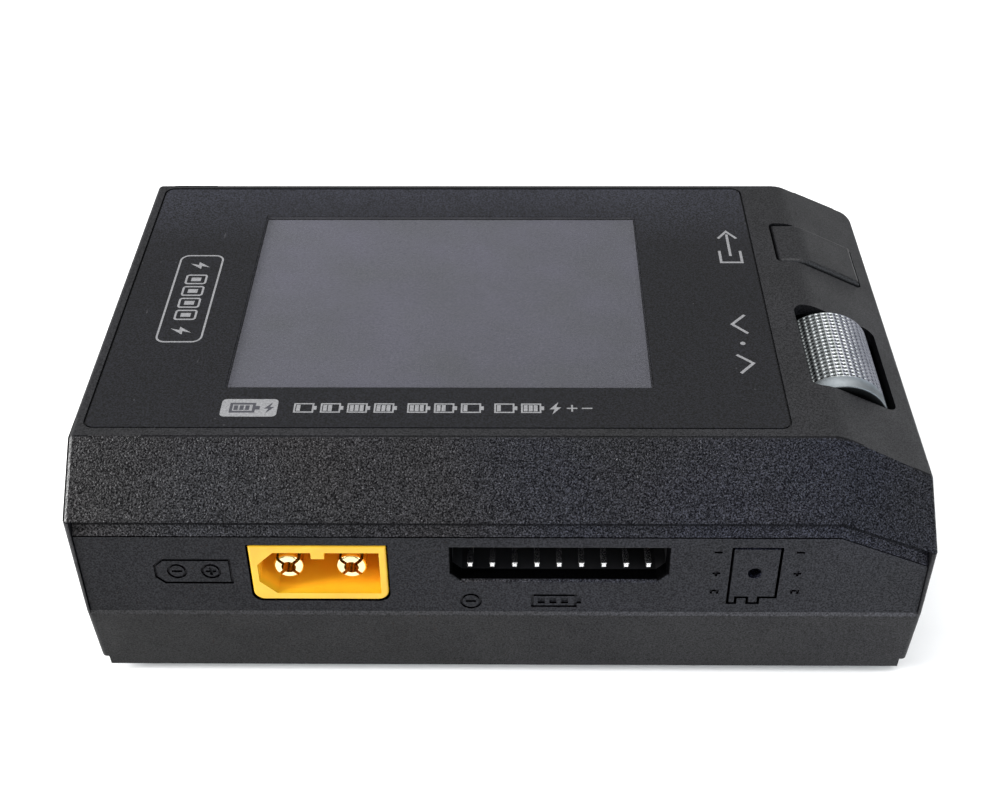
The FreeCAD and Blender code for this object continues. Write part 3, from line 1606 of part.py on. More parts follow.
def make_fan_rotor():
    """Rotor: a hub with seven pitched blades and a shaft that sits in the frame's hub plate."""
    blades = 7
    front = "case_depth / 2 - panel_inset - panel_thickness - fan_depth"
    hub_foot = f"{front} + 1.4"
    hub = cylinder("rotor_hub", "y", ("fan_across", hub_foot, "fan_axis"), "fan_hub", "5.6")
    shaft = cylinder("rotor_shaft", "y", ("fan_across", f"{front} + 0.1", "fan_axis"),
                     "shaft_radius", "3")
    blade = prism("rotor_blade", "XY", [
        ("-1.7", f"{hub_foot} + 0.4"),
        ("-1.1", f"{hub_foot} + 0.2"),
        ("1.7", f"{hub_foot} + 5.0"),
        ("1.1", f"{hub_foot} + 5.2"),
    ], "fan_hub - 0.6", "fan_tip - 0.4")
    turned = []
    centre = FreeCAD.Vector(number("fan_across"), 0, number("fan_axis"))
    for index in range(blades):
        copy = doc.addObject("Part::Compound", f"rotor_blade_{index}")
        copy.Links = [blade]
        spin = FreeCAD.Rotation(FreeCAD.Vector(0, 1, 0), 360.0 * index / blades)
        copy.Placement = FreeCAD.Placement(centre, spin)
        turned.append(copy)
    node("fan_rotor", fuse("fan_rotor", [hub, shaft] + turned))


def make_fan_screws():
    """Four screws through the rear panel into the fan frame's corners."""
    screws = []
    face = "case_depth / 2 - panel_inset"
    for index, (side, end) in enumerate(CORNERS):
        across = f"fan_across + {side} * fan_hole"
        up = f"fan_axis + {end} * fan_hole"
        head_foot = (across, f"{face} + 0.02", up)
        head = cylinder(f"fan_head_{index}", "y", head_foot, "fan_screw_head", "panel_inset - 0.05")
        shank_foot = (across, f"{face} - fan_screw_length", up)
        shank = cylinder(f"fan_shank_{index}", "y", shank_foot, "fan_screw_radius",
                         "fan_screw_length + 0.1")
        screws.append(fuse(f"fan_screw_{index}", [head, shank]))
    node("fan_screws", group("fan_screws", screws))


def make_heatsink():
    """Finned block over the power transistors, with a soft pad between."""
    body = new_body("heatsink")
    outline = rectangle("sink_left", "sink_right", "sink_front", "sink_rear")
    pad(body, "sink_base", "XY", "sink_bottom", "sink_base", [outline])
    fins = []
    count = int((number("sink_right") - number("sink_left")) / number("fin_pitch")) + 1
    for index in range(count):
        left = f"sink_left + {index} * fin_pitch"
        right = f"{left} + fin_pitch - fin_gap"
        fins.append(rectangle(left, right, "sink_front", "sink_rear"))
    pad(body, "sink_fins", "XY", "sink_base", "sink_top", fins)
    sheet_pad = new_body("thermal_pad")
    pad_outline = rectangle("sink_left + 1", "sink_right - 1", "sink_front + 1", "sink_rear - 1")
    pad(sheet_pad, "pad_sheet", "XY", "pad_bottom", "sink_bottom", [pad_outline])


def make_mosfets():
    """Two rows of four power transistors under the heatsink."""
    chips = []
    for row in range(2):
        for column in range(4):
            left = f"sink_left + 4 + {column} * chip_pitch"
            front = f"sink_front + 3 + {row} * chip_row_pitch"
            chips.append(box(f"mosfet_{row}_{column}", (left, f"{left} + chip_width"),
                             (front, f"{front} + chip_depth"), ("main_top", "pad_bottom")))
    node("mosfets", group("mosfets", chips))


def make_inductors():
    """Two square power inductors between the heatsink and the key board."""
    coils = []
    for index in range(2):
        along = f"coil_first + {index} * coil_pitch"
        core = box(f"coil_core_{index}", ("coil_across - coil_half", "coil_across + coil_half"),
                   (f"{along} - coil_half", f"{along} + coil_half"), ("main_top", "coil_top"))
        coils.append(rounded(f"coil_{index}", core, "coil_round", runs_along("z")))
    node("power_inductors", group("power_inductors", coils))


def make_capacitors():
    """Four upright smoothing capacitors along the left-hand side."""
    cans = []
    for index in range(4):
        along = f"cap_first + {index} * cap_pitch"
        can = cylinder(f"can_{index}", "z", ("cap_across", along, "main_top"), "cap_radius",
                       "cap_top - main_top")
        cans.append(can)
    node("capacitors", group("capacitors", cans))


def make_buzzer():
    """Round sounder with a small hole in its top."""
    body = new_body("buzzer")
    top = "main_top + buzzer_height"
    case = [("buzzer_across", "buzzer_along", "buzzer_radius")]
    pad(body, "buzzer_case", "XY", "main_top", top, [], case)
    hole = [("buzzer_across", "buzzer_along", "buzzer_bore")]
    pocket(body, "buzzer_hole", "XY", "main_top + 1", top, [], hole)


# ---------------------------------------------------------------- assembly


def build():
    """Make every sub-part in its place."""
    make_top_cover()
    make_bottom_shell()
    make_front_panel()
    make_rear_panel()
    make_case_screws()
    make_rubber_feet()
    make_screen_panel()
    make_screen_window()
    make_lcd_module()
    make_lcd_frame()
    make_control_board()
    pan_screws("display_screws", control_screw_places(), "control_bottom", 1, "1.9", "0.75", "3.6")
    make_display_ribbon()
    make_main_board()
    pan_screws("board_screws", board_screw_places(), "main_top", -1, "2.2", "0.95", "6.0")
    make_key_board()
    pan_screws("key_board_screws", key_screw_places(), "key_top", -1, "1.6", "0.8", "2.3")
    make_power_connector("output", "output_across", -1)
    make_power_connector("input", "input_across", 1)
    make_balance_port()
    make_signal_port()
    make_usb_port()
    make_scroll_wheel()
    make_wheel_axle()
    make_wheel_carrier()
    make_guide_pins()
    make_wheel_encoder()
    make_switch("wheel_switch", "wheel_across", "-9.0")
    make_exit_button()
    make_switch("exit_switch", "exit_stem_across", "(exit_front + exit_rear) / 2")
    make_fan_frame()
    make_fan_rotor()
    make_fan_screws()
    make_heatsink()
    make_mosfets()
    make_inductors()
    make_capacitors()
    make_buzzer()


def check_and_write():
    """Refuse any failed object or broken shape, then write one file for each sub-part."""
    doc.recompute()
    failed = [item.Name for item in doc.Objects if {"Invalid", "Error"} & set(item.State)]
    if failed:
        raise RuntimeError(f"failed objects: {failed}")
    for label, sub_part in nodes.items():
        if sub_part.Shape.isNull() or not sub_part.Shape.isValid():
            raise RuntimeError(f"broken shape: {label}")
    os.makedirs("parts", exist_ok=True)
    for label, sub_part in nodes.items():
        sub_part.Shape.exportStep(os.path.join("parts", f"{label}.step"))
        solids = len(sub_part.Shape.Solids)
        print(f"{label}: {solids} solid(s), {sub_part.Shape.Volume:.1f} mm3")


fill_sheet()
build()
check_and_write()
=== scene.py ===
import math

import bmesh
import bpy
from mathutils import Euler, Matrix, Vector


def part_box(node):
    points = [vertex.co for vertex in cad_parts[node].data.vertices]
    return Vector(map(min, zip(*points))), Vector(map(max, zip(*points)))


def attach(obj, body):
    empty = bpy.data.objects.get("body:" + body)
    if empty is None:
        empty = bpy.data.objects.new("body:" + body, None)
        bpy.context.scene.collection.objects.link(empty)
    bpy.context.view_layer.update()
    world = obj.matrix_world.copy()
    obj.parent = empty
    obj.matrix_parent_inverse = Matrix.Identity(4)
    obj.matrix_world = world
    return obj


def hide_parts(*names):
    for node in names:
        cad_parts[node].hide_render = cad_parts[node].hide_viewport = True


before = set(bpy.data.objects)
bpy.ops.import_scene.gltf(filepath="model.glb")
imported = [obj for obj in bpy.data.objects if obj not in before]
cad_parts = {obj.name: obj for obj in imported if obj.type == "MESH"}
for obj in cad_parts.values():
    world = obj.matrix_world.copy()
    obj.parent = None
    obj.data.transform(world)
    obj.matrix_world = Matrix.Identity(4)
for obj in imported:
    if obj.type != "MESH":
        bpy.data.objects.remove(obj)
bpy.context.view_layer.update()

MM = 0.001
# The photo's camera
CAMERA_PLACE = Vector((1.68, -154.09, 139.79)) * MM
CAMERA_TURN = Euler((math.radians(51.325), math.radians(0.342), math.radians(0.581)), "XYZ")
CAMERA_LENS = 53.756
# Places on the case where its skin changes
BEND_ACROSS = 37.8 * MM
BELT_SLOPE = 0.42
BEVEL_START = 24 * MM
LEDGE_HEIGHT = 20 * MM
CORNER_HEIGHT = 26 * MM
STRIP_LOW = 23.88 * MM
STRIP_HIGH = 25.05 * MM
# The display, the wheel and the printed signs
PIXEL_PITCH = 0.153 * MM
KNURL_STEPS = 8
PLAIN_BAND = 2.0 * MM
PRINT_LIFT = 0.012 * MM
PRINT_DEPTH = 0.018 * MM


# ---------------------------------------------------------------- node trees


class Tree:
    """Builds one material's node tree."""

    def __init__(self, name):
        self.material = bpy.data.materials.new(name)
        self.material.use_nodes = True
        self.nodes = self.material.node_tree.nodes
        self.links = self.material.node_tree.links
        self.shader = self.nodes["Principled BSDF"]
        self.place = self.add("ShaderNodeTexCoord").outputs["Object"]

    def add(self, kind, inputs=None, **settings):
        """A node with its properties and its input values or links."""
        made = self.nodes.new(kind)
        for key, value in settings.items():
            setattr(made, key, value)
        for key, value in (inputs or {}).items():
            self.feed(made.inputs[key], value)
        return made

    def feed(self, socket, value):
        """Link a socket to an output, or set its value."""
        if isinstance(value, bpy.types.NodeSocket):
            self.links.new(value, socket)
        else:
            socket.default_value = value

    def set(self, **values):
        """Set the shader's sockets, written with underscores for spaces."""
        for key, value in values.items():
            self.feed(self.shader.inputs[key.replace("_", " ")], value)

    def noise(self, size, detail=3.0, roughness=0.55, stretch=(1.0, 1.0, 1.0)):
        """Noise whose features are about size metres across."""
        place = self.place
        if stretch != (1.0, 1.0, 1.0):
            place = self.add("ShaderNodeMapping", {"Vector": place, "Scale": stretch}).outputs[0]
        made = self.add(
            "ShaderNodeTexNoise",
            {"Vector": place, "Scale": 1.0 / size, "Detail": detail, "Roughness": roughness},
        )
        return made.outputs["Fac"]

    def cells(self, size, output="Distance", randomness=1.0):
        """Cells about size metres across."""
        made = self.add(
            "ShaderNodeTexVoronoi",
            {"Vector": self.place, "Scale": 1.0 / size, "Randomness": randomness},
        )
        return made.outputs[output]

    def ramp(self, value, stops):
        """Coloured stops, each a position and a colour."""
        made = self.add("ShaderNodeValToRGB", {"Fac": value})
        elements = made.color_ramp.elements
        while len(elements) < len(stops):
            elements.new(0.5)
        for element, (position, colour) in zip(elements, stops):
            element.position = position
            element.color = (*colour, 1.0) if len(colour) == 3 else colour
        return made.outputs["Color"]

    def level(self, value, low, high, to_low, to_high):
        """Map a range of values to another."""
        made = self.add(
            "ShaderNodeMapRange",
            {"Value": value, "From Min": low, "From Max": high, "To Min": to_low, "To Max": to_high},
        )
        return made.outputs["Result"]

    def math(self, operation, first, second=0.0):
        """One step of arithmetic."""
        made = self.add("ShaderNodeMath", operation=operation)
        self.feed(made.inputs[0], first)
        self.feed(made.inputs[1], second)
        return made.outputs[0]

    def blend(self, factor, first, second):
        """Mix two colours."""
        made = self.add("ShaderNodeMix", data_type="RGBA")
        self.feed(made.inputs[0], factor)
        self.feed(made.inputs[6], first)
        self.feed(made.inputs[7], second)
        return made.outputs[2]

    def product(self, first, second):
        """Multiply two colours."""
        made = self.add("ShaderNodeMix", {"Factor": 1.0}, data_type="RGBA", blend_type="MULTIPLY")
        self.feed(made.inputs[6], first)
        self.feed(made.inputs[7], second)
        return made.outputs[2]

    def mixed(self, kind, factor, first, second):
        """Mix two numbers (FLOAT) or two directions (VECTOR)."""
        made = self.add("ShaderNodeMix", {"Factor": factor}, data_type=kind)
        start = {"FLOAT": 2, "VECTOR": 4}[kind]
        self.feed(made.inputs[start], first)
        self.feed(made.inputs[start + 1], second)
        return made.outputs[{"FLOAT": 0, "VECTOR": 1}[kind]]

    def bump(self, height, strength, distance):
        """The surface's normal, tilted by a height."""
        made = self.add(
            "ShaderNodeBump", {"Height": height, "Strength": strength, "Distance": distance}
        )
        return made.outputs["Normal"]

    def where(self):
        """The parts of a point's own place: across, along and up."""
        return self.add("ShaderNodeSeparateXYZ", {"Vector": self.place}).outputs

    def facing(self):
        """The parts of the surface's own normal: across, along and up."""
        normal = self.add("ShaderNodeNewGeometry").outputs["Normal"]
        split = self.add("ShaderNodeSeparateXYZ", {"Vector": normal})
        return split.outputs


def colour(red, green, blue):
    """An opaque colour."""
    return (red, green, blue, 1.0)


def tint(base, factor):
    """A colour made lighter or darker."""
    return colour(*(min(1.0, channel * factor) for channel in base[:3]))


# ---------------------------------------------------------------- materials


def moulded_plastic(name, base, grain, strength, roughness):
    """Matte moulded plastic: fine grain, slow shade variation and faint handling marks."""
    tree = Tree(name)
    spread = 0.12
    broad = tree.noise(14 * MM, 2.0)
    fine = tree.noise(grain, 2.0)
    shade = tree.math("ADD", tree.math("MULTIPLY", broad, 0.35), tree.math("MULTIPLY", fine, 0.65))
    hue = tree.ramp(shade, [(0.3, tint(base, 1 - spread)), (0.7, tint(base, 1 + spread))])
    rough = tree.level(tree.noise(5 * MM, 3.0), 0.3, 0.7, roughness - 0.05, roughness + 0.05)
    tree.set(Base_Color=hue, Roughness=rough, Specular_IOR_Level=0.3,
             Normal=tree.bump(fine, strength, grain * 0.3))
    return tree.material


def coarse_skin(tree):
    """A coarse spark-eroded skin: its colour, roughness, shine and normal; its bright flecks are
    partly grain and partly painted glints, and it carries a painted cool light towards the right.
    """
    coarse = tree.noise(0.18 * MM, 2.0, 0.6)
    pits = tree.cells(0.26 * MM)
    height = tree.math("ADD", coarse, tree.math("MULTIPLY", pits, 0.7))
    warm = tree.noise(22 * MM, 1.0)
    patch = tree.ramp(warm, [(0.35, (1.12, 1.0, 0.90)), (0.65, (0.92, 0.98, 1.16))])
    # Painted cool light: the coarse skin turns bluer and lighter towards the right side.
    side = tree.level(tree.where()["X"], -20 * MM, 25 * MM, 0.0, 1.0)
    painted_cool_light_right = tree.ramp(side, [(0.0, (1.12, 1.06, 0.98)), (1.0, (0.98, 1.06, 1.42))])
    cast = tree.product(patch, painted_cool_light_right)
    # The bright flecks are partly the skin's grain and partly painted glints.
    grain_stops = [(0.36, (0.20, 0.20, 0.21)), (0.53, (0.65, 0.65, 0.65)), (0.70, (3.0, 3.0, 3.0))]
    grain = tree.ramp(coarse, grain_stops)
    hue = tree.product(tree.product(case_shade(tree), grain), cast)
    rough = tree.level(tree.cells(0.3 * MM, output="Color"), 0.15, 0.9, 0.26, 0.60)
    shine = tree.level(coarse, 0.38, 0.68, 0.03, 0.40)
    return hue, rough, shine, tree.bump(height, 0.9, 0.12 * MM)


def case_shade(tree):
    """The case's own near-black, with a slow change of shade."""
    stops = [(0.3, (0.0053, 0.0054, 0.0062)), (0.7, (0.0070, 0.0071, 0.0086))]
    return tree.ramp(tree.noise(16 * MM, 2.0), stops)


def case_plastic():
    """Spark-eroded case plastic: coarse with painted glints on the bevels, finer elsewhere; painted
    shade on the front ridge, the upright walls and the outer part of the left front corner, and
    painted light on the lower band, growing towards the right and on its upward lip.
    """
    tree = Tree("case_spark_eroded")
    facing = tree.facing()
    where = tree.where()
    level_top = tree.level(facing["Z"], 0.78, 0.88, 0.0, 1.0)
    upright = tree.level(facing["Z"], 0.10, 0.40, 0.85, 0.0)
    out_from_middle = tree.math("ABSOLUTE", where["Y"])
    off_bevel = tree.level(out_from_middle, BEVEL_START, BEVEL_START + MM, 1.0, 0.0)
    below_ledge = tree.math("LESS_THAN", where["Z"], LEDGE_HEIGHT)
    even = tree.math("MAXIMUM", off_bevel, below_ledge)
    calm = tree.math("MAXIMUM", tree.math("MAXIMUM", level_top, upright), even)
    at_front = tree.math("LESS_THAN", where["Y"], -BEVEL_START)
    # Painted shade: the rounded ridge along the front top edge and the upright walls are darkened,
    # and their shine lowered.
    on_ridge = tree.math("MULTIPLY", tree.level(facing["Y"], -0.25, -0.08, 1.0, 0.0), at_front)
    painted_shade_on_ridge_and_walls = tree.math("MAXIMUM", tree.math("MULTIPLY", on_ridge, level_top),
                     tree.math("MULTIPLY", upright, 0.75))
    on_edge = tree.math("MULTIPLY", at_front, tree.math("GREATER_THAN", where["Z"], CORNER_HEIGHT))
    near = tree.math("MULTIPLY", tree.level(facing["X"], -0.16, -0.06, 1.0, 0.0),
                     tree.level(facing["X"], -0.56, -0.42, 0.0, 1.0))
    # Painted shade: the outer part of the rounded left front corner is darkened almost to black.
    far = tree.math("MULTIPLY", tree.level(facing["X"], -0.56, -0.42, 1.0, 0.0),
                    tree.level(facing["X"], -0.99, -0.95, 0.0, 1.0))
    polished = tree.math("MULTIPLY", near, on_edge)
    shadowed = tree.level(tree.math("MULTIPLY", far, on_edge), 0.0, 1.0, 1.0, 0.04)
    fine = tree.noise(0.18 * MM, 2.0)
    hue, rough, shine, normal = coarse_skin(tree)
    speck = tree.ramp(fine, [(0.34, (0.35, 0.35, 0.36)), (0.66, (2.1, 2.08, 2.05))])
    worn = tree.level(tree.noise(6 * MM, 3.0), 0.35, 0.7, 0.46, 0.56)
    keep = tree.level(painted_shade_on_ridge_and_walls, 0.0, 1.0, 1.0, 0.18)
    fine_shine = tree.math("MULTIPLY", tree.level(fine, 0.35, 0.65, 0.22, 0.40), keep)
    quiet = tree.product(tree.product(case_shade(tree), speck),
                         tree.level(painted_shade_on_ridge_and_walls, 0.0, 1.0, 1.0, 0.65))
    # Painted light below the ledge: darker on the left, lighter on the right, and lighter on
    # upward-facing lips.
    side_shade = tree.level(where["X"], -45 * MM, 45 * MM, 0.35, 1.45)
    lip = tree.level(facing["Z"], 0.20, 0.38, 1.0, 2.4)
    painted_light_below_ledge = tree.math("MULTIPLY", side_shade, lip)
    shaded = tree.product(quiet, tree.mixed("FLOAT", below_ledge, 1.0, painted_light_below_ledge))
    gloss = tree.math("MULTIPLY", tree.mixed("FLOAT", calm, shine, fine_shine), shadowed)
    tree.set(
        Base_Color=tree.product(tree.blend(calm, hue, shaded), shadowed),
        Roughness=tree.mixed("FLOAT", polished, tree.mixed("FLOAT", calm, rough, worn), 0.34),
        Specular_IOR_Level=tree.mixed("FLOAT", polished, gloss, 1.0),
        Normal=tree.mixed("VECTOR", calm, normal, tree.bump(fine, 0.3, 0.04 * MM)),
    )
    return tree.material


def panel_plastic(name, port_shade):
    """Finely grained panel plastic, coarse with a painted glint on the strip along its top and on the
    lower lips of its ports, lighter towards the right as painted light, with painted shade under the
    cover's overhang; the port shade is painted shade on the inner walls of the openings."""
    tree = Tree(name)
    where = tree.where()
    fall = tree.math("MAXIMUM", tree.math("SUBTRACT", where["X"], BEND_ACROSS), 0.0)
    height = tree.math("ADD", where["Z"], tree.math("MULTIPLY", fall, BELT_SLOPE))
    under_belt = tree.math("GREATER_THAN", height, STRIP_HIGH)
    on_strip = tree.math("SUBTRACT", tree.math("GREATER_THAN", height, STRIP_LOW), under_belt)
    # Painted light: the panel grows lighter towards the right side.
    side = tree.level(where["X"], -48 * MM, 48 * MM, 0.92, 2.4)
    facing = tree.facing()
    # Painted shade on the floors and side walls inside the port openings.
    floor_face = tree.level(facing["Z"], 0.86, 0.96, 0.0, port_shade)
    side_face = tree.level(tree.math("ABSOLUTE", facing["X"]), 0.25, 0.5, 0.0, port_shade)
    # Painted shade in the recess under the cover's overhang, above the strip.
    painted_overhang_shade = tree.math("MULTIPLY", under_belt, 0.7)
    dark = tree.math("MAXIMUM", painted_overhang_shade, tree.math("MAXIMUM", floor_face, side_face))
    lit = tree.level(dark, 0.0, 1.0, 1.0, 0.05)
    # Painted highlight: upward-facing lips outside the darkened port walls take, like the strip, the
    # coarse skin made half as bright again.
    lip = tree.math("MULTIPLY", tree.level(facing["Z"], 0.2, 0.45, 0.0, 1.0),
                    tree.math("SUBTRACT", 1.0, dark))
    coarse_skin_with_painted_glint = tree.math("MAXIMUM", on_strip, lip)
    shade = tree.math("MULTIPLY", side, lit)
    fine = tree.noise(0.20 * MM, 2.0)
    broad = tree.noise(14 * MM, 2.0)
    base = tree.ramp(broad, [(0.3, (0.0050, 0.0052, 0.0062)), (0.7, (0.0064, 0.0066, 0.0082))])
    speck = tree.ramp(fine, [(0.34, (0.45, 0.45, 0.46)), (0.66, (1.8, 1.8, 1.78))])
    hue, rough, shine, normal = coarse_skin(tree)
    painted_glint = tree.product(hue, (1.5, 1.5, 1.5, 1.0))
    fine_shine = tree.math("MULTIPLY", tree.level(fine, 0.35, 0.65, 0.06, 0.12), lit)
    worn = tree.level(tree.noise(5 * MM, 3.0), 0.3, 0.7, 0.46, 0.56)
    tree.set(
        Base_Color=tree.blend(coarse_skin_with_painted_glint, tree.product(tree.product(base, speck), shade), painted_glint),
        Roughness=tree.mixed("FLOAT", coarse_skin_with_painted_glint, worn, rough),
        Specular_IOR_Level=tree.mixed("FLOAT", coarse_skin_with_painted_glint, fine_shine, shine),
        Normal=tree.mixed("VECTOR", coarse_skin_with_painted_glint, tree.bump(fine, 0.3, 0.05 * MM), normal),
    )
    return tree.material


def overlay_film():
    """Silk-printed film: nearly smooth, with a faint orange peel, dust, short scratches and a painted
    reflection that lightens it towards the rear.
    """
    tree = Tree("overlay_film")
    peel = tree.noise(0.5 * MM, 2.0)
    grain = tree.noise(0.14 * MM, 1.0)
    skin = tree.math("ADD", peel, tree.math("MULTIPLY", grain, 0.8))
    dust = tree.ramp(tree.cells(2.2 * MM), [(0.03, (1, 1, 1)), (0.06, (0, 0, 0))])
    streaks = tree.noise(0.5 * MM, 1.0, stretch=(1.0, 0.12, 1.0))
    patches = tree.noise(7 * MM, 1.0)
    scratch = tree.math("MULTIPLY", tree.level(streaks, 0.76, 0.80, 0.0, 1.0),
                        tree.level(patches, 0.55, 0.62, 0.0, 1.0))
    base = tree.ramp(tree.noise(20 * MM, 2.0),
                     [(0.3, (0.0050, 0.0053, 0.0075)), (0.7, (0.0064, 0.0067, 0.0093))])
    fleck = tree.noise(0.22 * MM, 1.0)
    specks = tree.ramp(fleck, [(0.36, (0.05, 0.05, 0.05)), (0.64, (2.6, 2.6, 2.6))])
    mottled = tree.product(base, specks)
    worn = tree.math("MAXIMUM", tree.math("MULTIPLY", dust, 0.3),
                     tree.math("MULTIPLY", scratch, 0.35))
    # Painted reflection: the film grows lighter towards the rear.
    painted_rear_reflection = tree.level(tree.where()["Y"], 12 * MM, 25 * MM, 0.50, 1.7)
    hue = tree.blend(worn, tree.product(mottled, painted_rear_reflection), colour(0.10, 0.10, 0.105))
    rough = tree.level(peel, 0.3, 0.7, 0.38, 0.46)
    tree.set(Base_Color=hue, Roughness=rough, Specular_IOR_Level=0.29,
             Normal=tree.bump(skin, 0.12, 0.02 * MM))
    return tree.material


def display_face():
    """Unlit display: a grey polariser with a faint pixel grid, a violet cast and a painted reflection
    that darkens it from the rear left towards the front right.
    """
    tree = Tree("display_face")
    cast = tree.ramp(tree.noise(9 * MM, 2.0),
                     [(0.3, (0.116, 0.118, 0.134)), (0.7, (0.132, 0.130, 0.162))])
    where = tree.where()
    # Painted reflection: the display darkens from the rear left towards the front right.
    slant = tree.math("SUBTRACT", where["Y"], tree.math("MULTIPLY", where["X"], 0.6))
    painted_reflection_falloff = tree.level(slant, -28 * MM, 36 * MM, 0.78, 1.06)
    lines = []
    for axis in ("X", "Y"):
        phase = tree.math("FRACT", tree.math("DIVIDE", where[axis], PIXEL_PITCH))
        lines.append(tree.math("GREATER_THAN", phase, 0.16))
    grid = tree.math("MULTIPLY", lines[0], lines[1])
    speck = tree.level(tree.noise(0.26 * MM, 2.0), 0.3, 0.7, 0.74, 1.26)
    shade = tree.math("MULTIPLY", speck, tree.level(grid, 0.0, 1.0, 0.90, 1.0))
    tree.set(Base_Color=tree.product(tree.product(cast, painted_reflection_falloff), shade),
             Roughness=tree.level(speck, 0.8, 1.2, 0.42, 0.5), Specular_IOR_Level=0.3)
    return tree.material


def window_pane():
    """Clear hard-coated window: a faint sheen over what lies below, and dark cut edges."""
    tree = Tree("clear_window")
    grain = tree.noise(0.26 * MM, 1.0)
    smear = tree.noise(6 * MM, 2.0)
    hue = tree.ramp(smear, [(0.3, (0.030, 0.030, 0.034)), (0.7, (0.042, 0.042, 0.048))])
    tree.set(Base_Color=hue, Roughness=tree.level(grain, 0.3, 0.7, 0.30, 0.42),
             Normal=tree.bump(grain, 0.08, 0.01 * MM))
    clear = tree.add("ShaderNodeBsdfTransparent").outputs[0]
    sheen = tree.level(grain, 0.3, 0.7, 0.14, 0.22)
    edge = tree.level(tree.math("ABSOLUTE", tree.facing()["Z"]), 0.5, 0.9, 1.0, 0.0)
    mixed = tree.add("ShaderNodeMixShader", {"Fac": tree.math("MAXIMUM", sheen, edge)})
    tree.feed(mixed.inputs[1], clear)
    tree.feed(mixed.inputs[2], tree.shader.outputs[0])
    tree.feed(tree.nodes["Material Output"].inputs["Surface"], mixed.outputs[0])
    return tree.material


def printed_ink():
    """Light grey print with a slightly broken edge."""
    tree = Tree("printed_ink")
    blot = tree.noise(0.25 * MM, 2.0)
    hue = tree.ramp(blot, [(0.3, (0.135, 0.135, 0.140)), (0.7, (0.215, 0.215, 0.222))])
    tree.set(Base_Color=hue, Roughness=tree.level(blot, 0.3, 0.7, 0.5, 0.62),
             Normal=tree.bump(blot, 0.2, 0.01 * MM))
    return tree.material


def connector_nylon():
    """Yellow glass-filled nylon: slightly translucent, with flow marks, a fine grain and painted
    light inside the cavities, a brighter, more orange copy of its colour.
    """
    tree = Tree("connector_nylon")
    flow = tree.noise(3 * MM, 3.0, stretch=(1.0, 0.3, 1.0))
    grain = tree.noise(0.15 * MM, 2.0)
    outer = tree.ramp(flow, [(0.3, (0.53, 0.290, 0.006)), (0.7, (0.58, 0.345, 0.010))])
    # Painted light: a brighter, more orange copy of the nylon colour inside the cavities.
    inner = tree.ramp(flow, [(0.3, (0.86, 0.385, 0.012)), (0.7, (0.92, 0.440, 0.016))])
    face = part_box("input_housing")[1].y
    out_from_middle = tree.math("ABSOLUTE", tree.where()["Y"])
    in_cavity = tree.level(out_from_middle, face - 1.2 * MM, face - 0.1 * MM, 1.0, 0.0)
    rough = tree.level(tree.noise(1.2 * MM, 2.0), 0.3, 0.7, 0.32, 0.42)
    tree.set(Base_Color=tree.blend(in_cavity, outer, inner), Roughness=rough,
             Normal=tree.bump(grain, 0.12, 0.03 * MM))
    tree.shader.inputs["Subsurface Weight"].default_value = 0.05
    tree.shader.inputs["Subsurface Radius"].default_value = (0.0012, 0.0007, 0.0002)
    tree.shader.inputs["Subsurface Scale"].default_value = 0.5
    return tree.material


def metal(name, base, roughness, scratch_size, strength, stretch=(1.0, 1.0, 1.0)):
    """Bare or plated metal with directional marks and a slow tarnish."""
    tree = Tree(name)
    stain = 0.15
    marks = tree.noise(scratch_size, 3.0, 0.6, stretch)
    slow = tree.noise(2.5 * MM, 2.0)
    hue = tree.ramp(slow, [(0.3, tint(base, 1 - stain)), (0.7, tint(base, 1.0))])
    rough = tree.level(marks, 0.3, 0.7, roughness - 0.07, roughness + 0.08)
    tree.set(Base_Color=hue, Roughness=rough, Normal=tree.bump(marks, strength, scratch_size * 0.2))
    tree.shader.inputs["Metallic"].default_value = 1.0
    return tree.material


